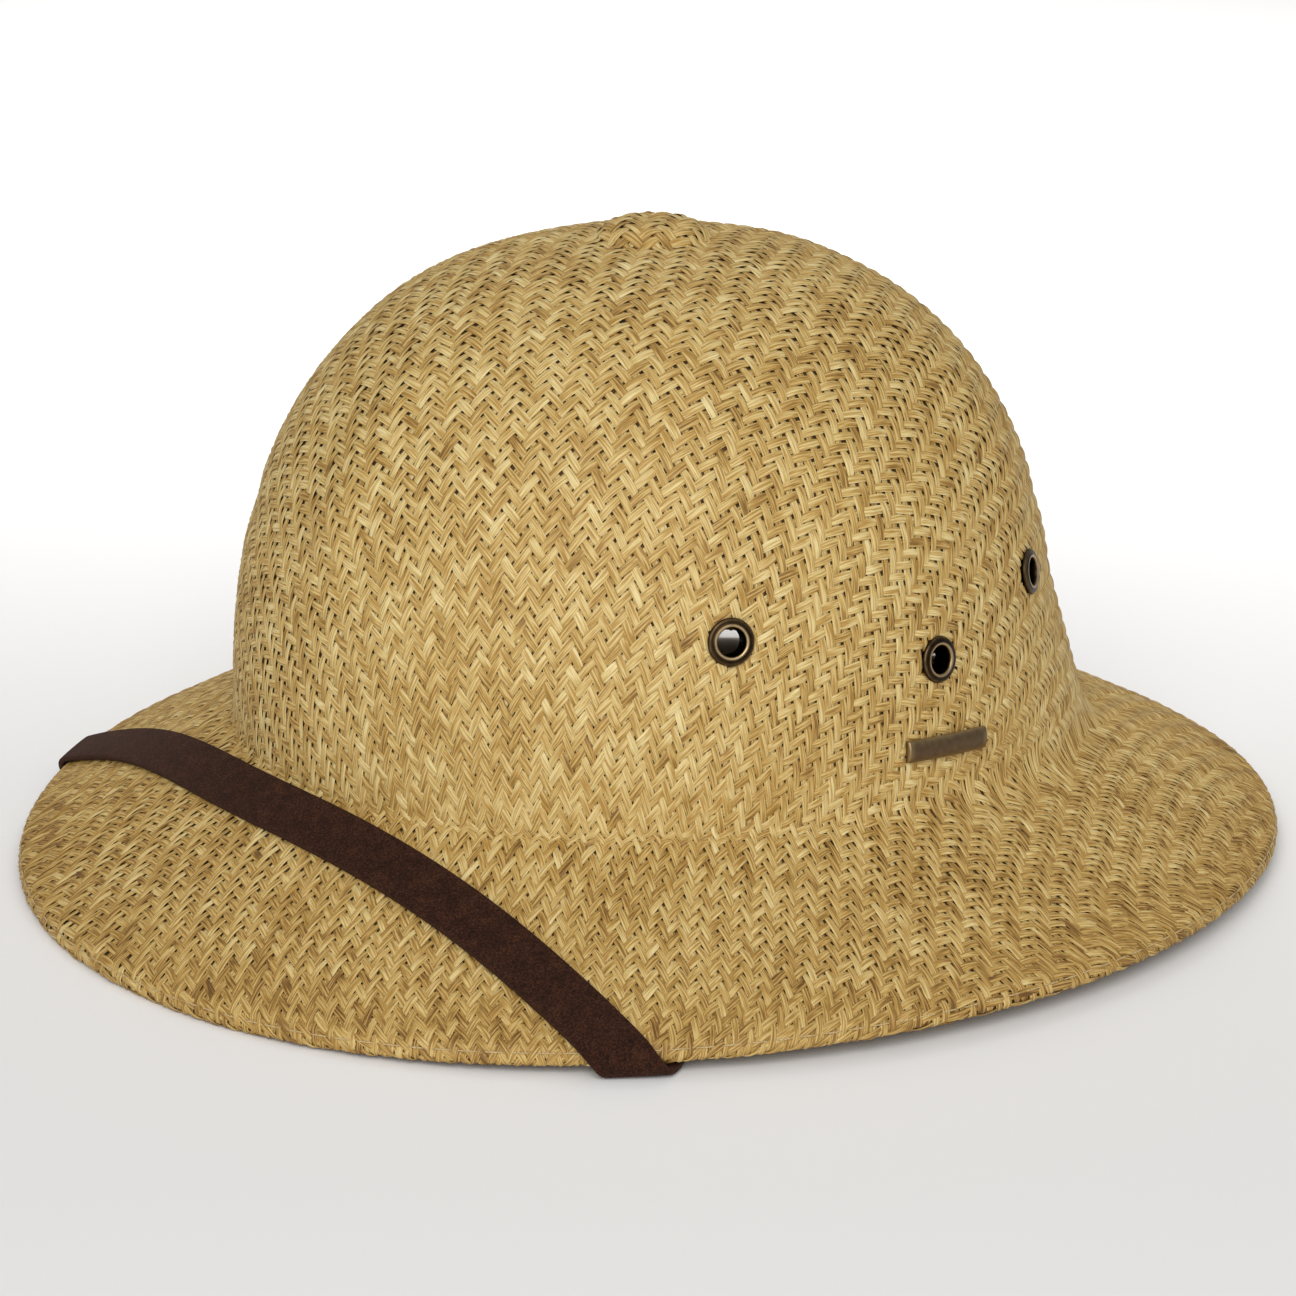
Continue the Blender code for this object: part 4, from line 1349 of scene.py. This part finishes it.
@dataclass
class HemStitches:
    """One line of machine stitches that holds the turned hem."""

    weave: Weave
    length: float = 4.6 * MM
    pitch: float = 5.8 * MM
    thread: float = 0.42 * MM

    RING_STEPS = 2001
    MIDDLE = 0.5
    ONWARD = 0.6

    def build(self, finish: bpy.types.Material) -> None:
        """Lay a small rounded stitch at even steps round the lip."""
        skin = self.weave.skin
        station = self.weave.stitch_station()
        turns = np.linspace(0.0, TURN, self.RING_STEPS)
        ring = skin.place(turns, np.full(len(turns), station), np.zeros(len(turns)))
        run = np.concatenate([[0.0], np.cumsum(np.linalg.norm(np.diff(ring, axis=0), axis=1))])
        count = int(run[-1] / self.pitch)
        azimuths = np.interp((np.arange(count) + self.MIDDLE) * run[-1] / count, run, turns)
        ahead = np.interp((np.arange(count) + self.ONWARD) * run[-1] / count, run, turns)
        level = np.full(count, station)
        sunk = np.full(count, -self.weave.hem_groove_depth)
        here = skin.place(azimuths, level, sunk)
        onward = skin.place(ahead, level, sunk)
        outward = skin.outward(azimuths, level)
        shape = bmesh.new()
        for middle, towards, up in zip(here, onward, outward):
            along = Vector(towards - middle).normalized()
            normal = Vector(up)
            across = normal.cross(along).normalized()
            axes = Matrix((along * self.length / 2.0, across * self.thread / 2.0,
                           normal * self.thread / 2.0)).transposed().to_4x4()
            bmesh.ops.create_uvsphere(shape, u_segments=8, v_segments=6, radius=1.0,
                                      matrix=Matrix.Translation(middle) @ axes
                                      @ Matrix.Rotation(math.pi / 2.0, 4, "Y"))
        bmesh.ops.recalc_face_normals(shape, faces=shape.faces)
        mesh = mesh_from(shape, "hem_stitches")
        mesh.shade_smooth()
        finish_piece("hem_stitches", mesh, None, [finish])


@dataclass
class ChinStrap:
    """The suede strap, from a merged copy of its CAD solid with softened, rounded edges."""

    node: str = "chin_strap"
    edge_round: float = 0.35 * MM
    sharp: float = math.radians(55.0)
    flattest_fold: float = math.radians(25.0)
    widest_skew: float = math.radians(80.0)

    def build(self, suede: bpy.types.Material, cut_edge: bpy.types.Material) -> None:
        """Make the strap."""
        shape = bmesh.new()
        shape.from_mesh(bpy.data.objects[self.node].data)
        bmesh.ops.remove_doubles(shape, verts=shape.verts, dist=MERGE_DISTANCE)
        bmesh.ops.join_triangles(shape, faces=shape.faces, angle_face_threshold=self.flattest_fold,
                                 angle_shape_threshold=self.widest_skew)
        edges = [edge for edge in shape.edges if self.is_sharp(edge)]
        for face in shape.faces:
            face.material_index = int(sum(self.is_sharp(edge) for edge in face.edges) >= 2)
            face.smooth = True
        bmesh.ops.bevel(shape, geom=edges, offset=self.edge_round, offset_type="OFFSET", segments=2,
                        profile=0.5, affect="EDGES", material=-1, clamp_overlap=True)
        mesh = mesh_from(shape, "chin_strap")
        mesh.shade_smooth()
        strap = finish_piece("suede_chin_strap", mesh, Slot.SUEDE, [suede, cut_edge], [self.node])
        smooth = strap.modifiers.new("soft", "SUBSURF")
        smooth.levels = 1
        smooth.render_levels = 1

    def is_sharp(self, edge: bmesh.types.BMEdge) -> bool:
        """Return True for an edge between the strap's face and its cut side."""
        return len(edge.link_faces) == 2 and edge.calc_face_angle(0.0) > self.sharp


@dataclass
class Eyelet:
    """One turned and set eyelet with a rolled flange."""

    vent: Vent
    barrel_radius: float = 4.4 * MM
    hole_radius: float = 3.2 * MM
    steps: int = 48

    # Columns: radius as a share of the way from the hole to the flange's edge, height as a share
    # of the flange's rise, wear
    ROLL = (
        (0.00, -0.60, 0.00), (0.01, 0.10, 0.02), (0.06, 0.50, 0.20), (0.13, 0.80, 0.70),
        (0.22, 0.97, 0.95), (0.32, 1.00, 0.75), (0.42, 0.90, 0.32), (0.52, 0.76, 0.10),
        (0.64, 0.72, 0.12), (0.78, 0.70, 0.36), (0.90, 0.52, 0.46), (0.97, 0.18, 0.30),
        (1.00, -0.14, 0.08), (0.98, -0.26, 0.00),
    )
    RISE = 0.85 * MM
    CAD_RISE = 1.3 * MM
    RIM_SHARE = 0.93
    BACK_FLANGE = 0.65 * MM
    BACK_EDGE = (0.3 * MM, 0.1 * MM)
    BACK_ROLL = 0.8 * MM
    BORE_ROUND = 0.2 * MM
    SHARP = math.radians(50.0)

    def profile(self) -> list[tuple[float, float, float]]:
        """Return the closed profile: radius, height over the node's middle and wear."""
        rim = self.vent.radius * self.RIM_SHARE
        seat = self.vent.top - self.CAD_RISE
        points = [(lerp(self.hole_radius, rim, out), seat + self.RISE * up, wear)
                  for out, up, wear in self.ROLL]
        back = self.vent.back
        return points + [
            (self.barrel_radius, seat, 0.0), (self.barrel_radius, back + self.BACK_FLANGE, 0.0),
            (rim, back + self.BACK_FLANGE, 0.2),
            (rim - self.BACK_EDGE[0], back + self.BACK_EDGE[1], 0.3),
            (rim - self.BACK_ROLL, back, 0.5), (self.hole_radius + self.BORE_ROUND, back, 0.4),
            (self.hole_radius, back + self.BORE_ROUND, 0.1),
        ]

    def build(self, finish: bpy.types.Material) -> None:
        """Turn the profile about the eyelet's axis."""
        shape = bmesh.new()
        layer = shape.verts.layers.float.new(BrassFinish.WEAR_NAME)
        ring = []
        for radius, height, wear in self.profile():
            vertex = shape.verts.new((radius, 0.0, height))
            vertex[layer] = wear
            ring.append(vertex)
        edges = [shape.edges.new((ring[index - 1], ring[index])) for index in range(len(ring))]
        bmesh.ops.spin(shape, geom=ring + edges, cent=(0, 0, 0), axis=(0, 0, 1), angle=TURN,
                       steps=self.steps, use_merge=True, use_duplicate=False)
        bmesh.ops.recalc_face_normals(shape, faces=shape.faces)
        shape.transform(self.vent.place())
        mesh = mesh_from(shape, "eyelet")
        mesh.shade_smooth()
        mesh.set_sharp_from_angle(angle=self.SHARP)
        finish_piece(self.vent.node + "_turned", mesh, Slot.EYELET_BRASS, [finish], [self.vent.node])


@dataclass
class BlankBar:
    """The small metal bar under the middle eyelet, left bare."""

    node: str = "badge_bar"
    length: float = 26.2 * MM
    height: float = 5.3 * MM
    thickness: float = 1.8 * MM
    bow_radius: float = 106.5 * MM
    edge_round: float = 0.45 * MM
    convexity: float = 0.65 * MM
    face_wear: float = 0.38
    edge_wear: float = 0.5
    rubbed_width: float = 0.5 * MM
    length_cuts: int = 15
    height_cuts: int = 7
    sharp: float = math.radians(35.0)

    def build(self, finish: bpy.types.Material) -> None:
        """Make the bar: bent to the crown and rounded at its edges."""
        shape = bmesh.new()
        bmesh.ops.create_cube(shape, size=1.0)
        bmesh.ops.scale(shape, vec=(self.length, self.height, self.thickness), verts=shape.verts)
        bmesh.ops.bevel(shape, geom=shape.edges[:], offset=self.edge_round, offset_type="OFFSET",
                        segments=4, profile=0.5, affect="EDGES", material=-1, clamp_overlap=True)
        lengthwise = [edge for edge in shape.edges
                      if abs(edge.verts[0].co.x - edge.verts[1].co.x) > self.length / 2.0]
        bmesh.ops.subdivide_edges(shape, edges=lengthwise, cuts=self.length_cuts, use_grid_fill=True)
        upright = [edge for edge in shape.edges
                   if abs(edge.verts[0].co.y - edge.verts[1].co.y) > self.height / 2.0]
        bmesh.ops.subdivide_edges(shape, edges=upright, cuts=self.height_cuts, use_grid_fill=True)
        layer = shape.verts.layers.float.new(BrassFinish.WEAR_NAME)
        for vertex in shape.verts:
            near_edge = min(self.height / 2.0 - abs(vertex.co.y), self.length / 2.0 - abs(vertex.co.x))
            rubbed = self.edge_wear * math.exp(-near_edge / self.rubbed_width)
            vertex[layer] = self.face_wear + rubbed * (vertex.co.z > 0.0)
            if vertex.co.z > 0.0:
                vertex.co.z -= self.convexity * (2.0 * vertex.co.y / self.height) ** 2
            vertex.co.z -= vertex.co.x ** 2 / (2.0 * self.bow_radius)
        shape.transform(self.place())
        mesh = mesh_from(shape, "bar")
        mesh.shade_smooth()
        mesh.set_sharp_from_angle(angle=self.sharp)
        finish_piece("blank_brass_bar", mesh, Slot.BAR_BRASS, [finish], [self.node])

    def place(self) -> Matrix:
        """Return the bar's place, measured on its CAD node."""
        points = node_points(self.node)
        middle = (points.max(0) + points.min(0)) / 2.0
        _, axes = np.linalg.eigh(np.cov((points - points.mean(0)).T))
        outward = Vector(axes[:, 0])
        if outward.dot(Vector((middle[0], middle[1], 0.0))) < 0.0:
            outward.negate()
        along = Vector(axes[:, 2])
        if along.dot(Vector((0.0, 0.0, 1.0)).cross(outward)) < 0.0:
            along.negate()
        up = outward.cross(along)
        turned = Matrix((along, up, outward)).transposed()
        reach = max((Vector(point) - Vector(middle)).dot(outward) for point in points)
        seat = Vector(middle) + outward * (reach - self.thickness / 2.0)
        return Matrix.Translation(seat) @ turned.to_4x4()


@dataclass(frozen=True)
class SoftLight:
    """A soft box of the studio."""

    name: str
    azimuth_deg: float
    elevation_deg: float
    distance: float
    size: float
    watts: float
    aim: tuple[float, float, float] = (0.0, 0.0, 0.0)
    spread_deg: float = 180.0
    colour: str = WHITE

    def build(self, target: Vector) -> None:
        """Add the light, aimed at a target."""
        light = bpy.data.lights.new(self.name, "AREA")
        light.shape = "DISK"
        light.size = self.size
        light.energy = self.watts
        light.spread = math.radians(self.spread_deg)
        light.color = hex_colour(self.colour)[:3]
        holder = link_object(self.name, light)
        towards = direction(self.azimuth_deg, self.elevation_deg)
        holder.location = target + Vector(self.aim) + towards * self.distance
        holder.rotation_mode = "QUATERNION"
        holder.rotation_quaternion = towards.to_track_quat("Z", "Y")


def direction(azimuth_deg: float, elevation_deg: float) -> Vector:
    """Return the unit vector from the helmet towards an azimuth and elevation.

    Args:
        azimuth_deg: 0 is straight before the helmet's front, and 90 is the wearer's left.
        elevation_deg: Angle above the horizon.

    Returns:
        The direction.
    """
    azimuth = math.radians(azimuth_deg)
    elevation = math.radians(elevation_deg)
    return Vector((math.sin(azimuth) * math.cos(elevation), -math.cos(azimuth) * math.cos(elevation),
                   math.sin(elevation)))


@dataclass
class Studio:
    """Pale floor, soft lights and the camera at the photograph's angle."""

    camera_azimuth_deg: float = 48.214
    camera_elevation_deg: float = 18.044
    camera_distance: float = 969.33 * MM
    camera_roll_deg: float = 0.897
    focal_px: float = 3831.5
    frame_px: float = 1296.0
    sensor_mm: float = 36.0
    target: tuple[float, float, float] = (-2.194 * MM, -2.455 * MM, 47.387 * MM)
    floor_size: float = 12.0
    world_strength: float = 0.365

    LIGHTS = (
        SoftLight("key_softbox", 43.0, 32.0, 2.2, 1.6, 30.0),
        SoftLight("fill_softbox", 90.0, 35.0, 2.0, 1.2, 3.5),
        SoftLight("backdrop_softbox", 46.5, 41.0, 1.85, 1.4, 17.5, (-1.5, 1.4, -0.05), 166.0),
    )

    def build(self) -> None:
        """Set up the whole studio."""
        self.add_camera()
        self.add_floor()
        for light in self.LIGHTS:
            light.build(Vector(self.target))
        world = bpy.data.worlds.new("studio")
        world.use_nodes = True
        background = world.node_tree.nodes["Background"]
        background.inputs["Color"].default_value = hex_colour(WHITE)
        background.inputs["Strength"].default_value = self.world_strength
        bpy.context.scene.world = world
        bpy.context.scene.view_settings.view_transform = "Standard"

    def add_camera(self) -> None:
        """Add the camera and make it the scene's."""
        camera = bpy.data.cameras.new("photo_camera")
        camera.sensor_width = self.sensor_mm
        camera.lens = self.focal_px / self.frame_px * self.sensor_mm
        holder = link_object("photo_camera", camera)
        back = direction(self.camera_azimuth_deg, self.camera_elevation_deg)
        holder.location = Vector(self.target) + back * self.camera_distance
        level = back.to_track_quat("Z", "Y").to_matrix().to_4x4()
        roll = Matrix.Rotation(math.radians(self.camera_roll_deg), 4, "Z")
        holder.rotation_mode = "QUATERNION"
        holder.rotation_quaternion = (level @ roll).to_quaternion()
        bpy.context.scene.camera = holder

    def add_floor(self) -> None:
        """Add the floor under the helmet."""
        shape = bmesh.new()
        bmesh.ops.create_grid(shape, x_segments=4, y_segments=4, size=self.floor_size / 2.0)
        mesh = mesh_from(shape, "floor")
        mesh.materials.append(StudioFloorFinish().build())
        link_object("floor", mesh)


def main() -> None:
    """Build the helmet's visual model, piece by piece."""
    logging.basicConfig(level=logging.INFO, format="%(name)s: %(message)s")
    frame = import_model()
    studio = Studio()
    studio.build()
    form = HelmetForm.from_frame()
    skin = Skin(form)
    drape = Drape(skin)
    log.info("matting draped over %.1f mm of skin", skin.length / MM)
    vents = [Vent.from_node(node) for node in sorted(frame["nodes"]) if node.startswith("vent_eyelet")]
    weave = Weave(skin, drape, vents)
    weave.build(StrawFinish().build())
    open_side = BackingFinish("stiffened straw backing", "#6B4A20", "#A78447")
    # The outer face's darker backing is painted shade for the gaps between the strands.
    gap_shade_side = BackingFinish("painted gap shade backing", "#3A2812", "#6E522A")
    Backing(skin, vents).build(open_side.build(), gap_shade_side.build())
    HemStitches(weave).build(ThreadFinish().build())
    ChinStrap().build(SuedeFinish().build(), CutEdgeFinish().build())
    eyelet_brass = BrassFinish("antique brass eyelet").build()
    for vent in vents:
        Eyelet(vent).build(eyelet_brass)
    bar_brass = BrassFinish("antique brass bar", bronze="#6A5640", bright="#A48E68", roughness=0.40)
    BlankBar().build(bar_brass.build())


if __name__ == "__main__":
    main()
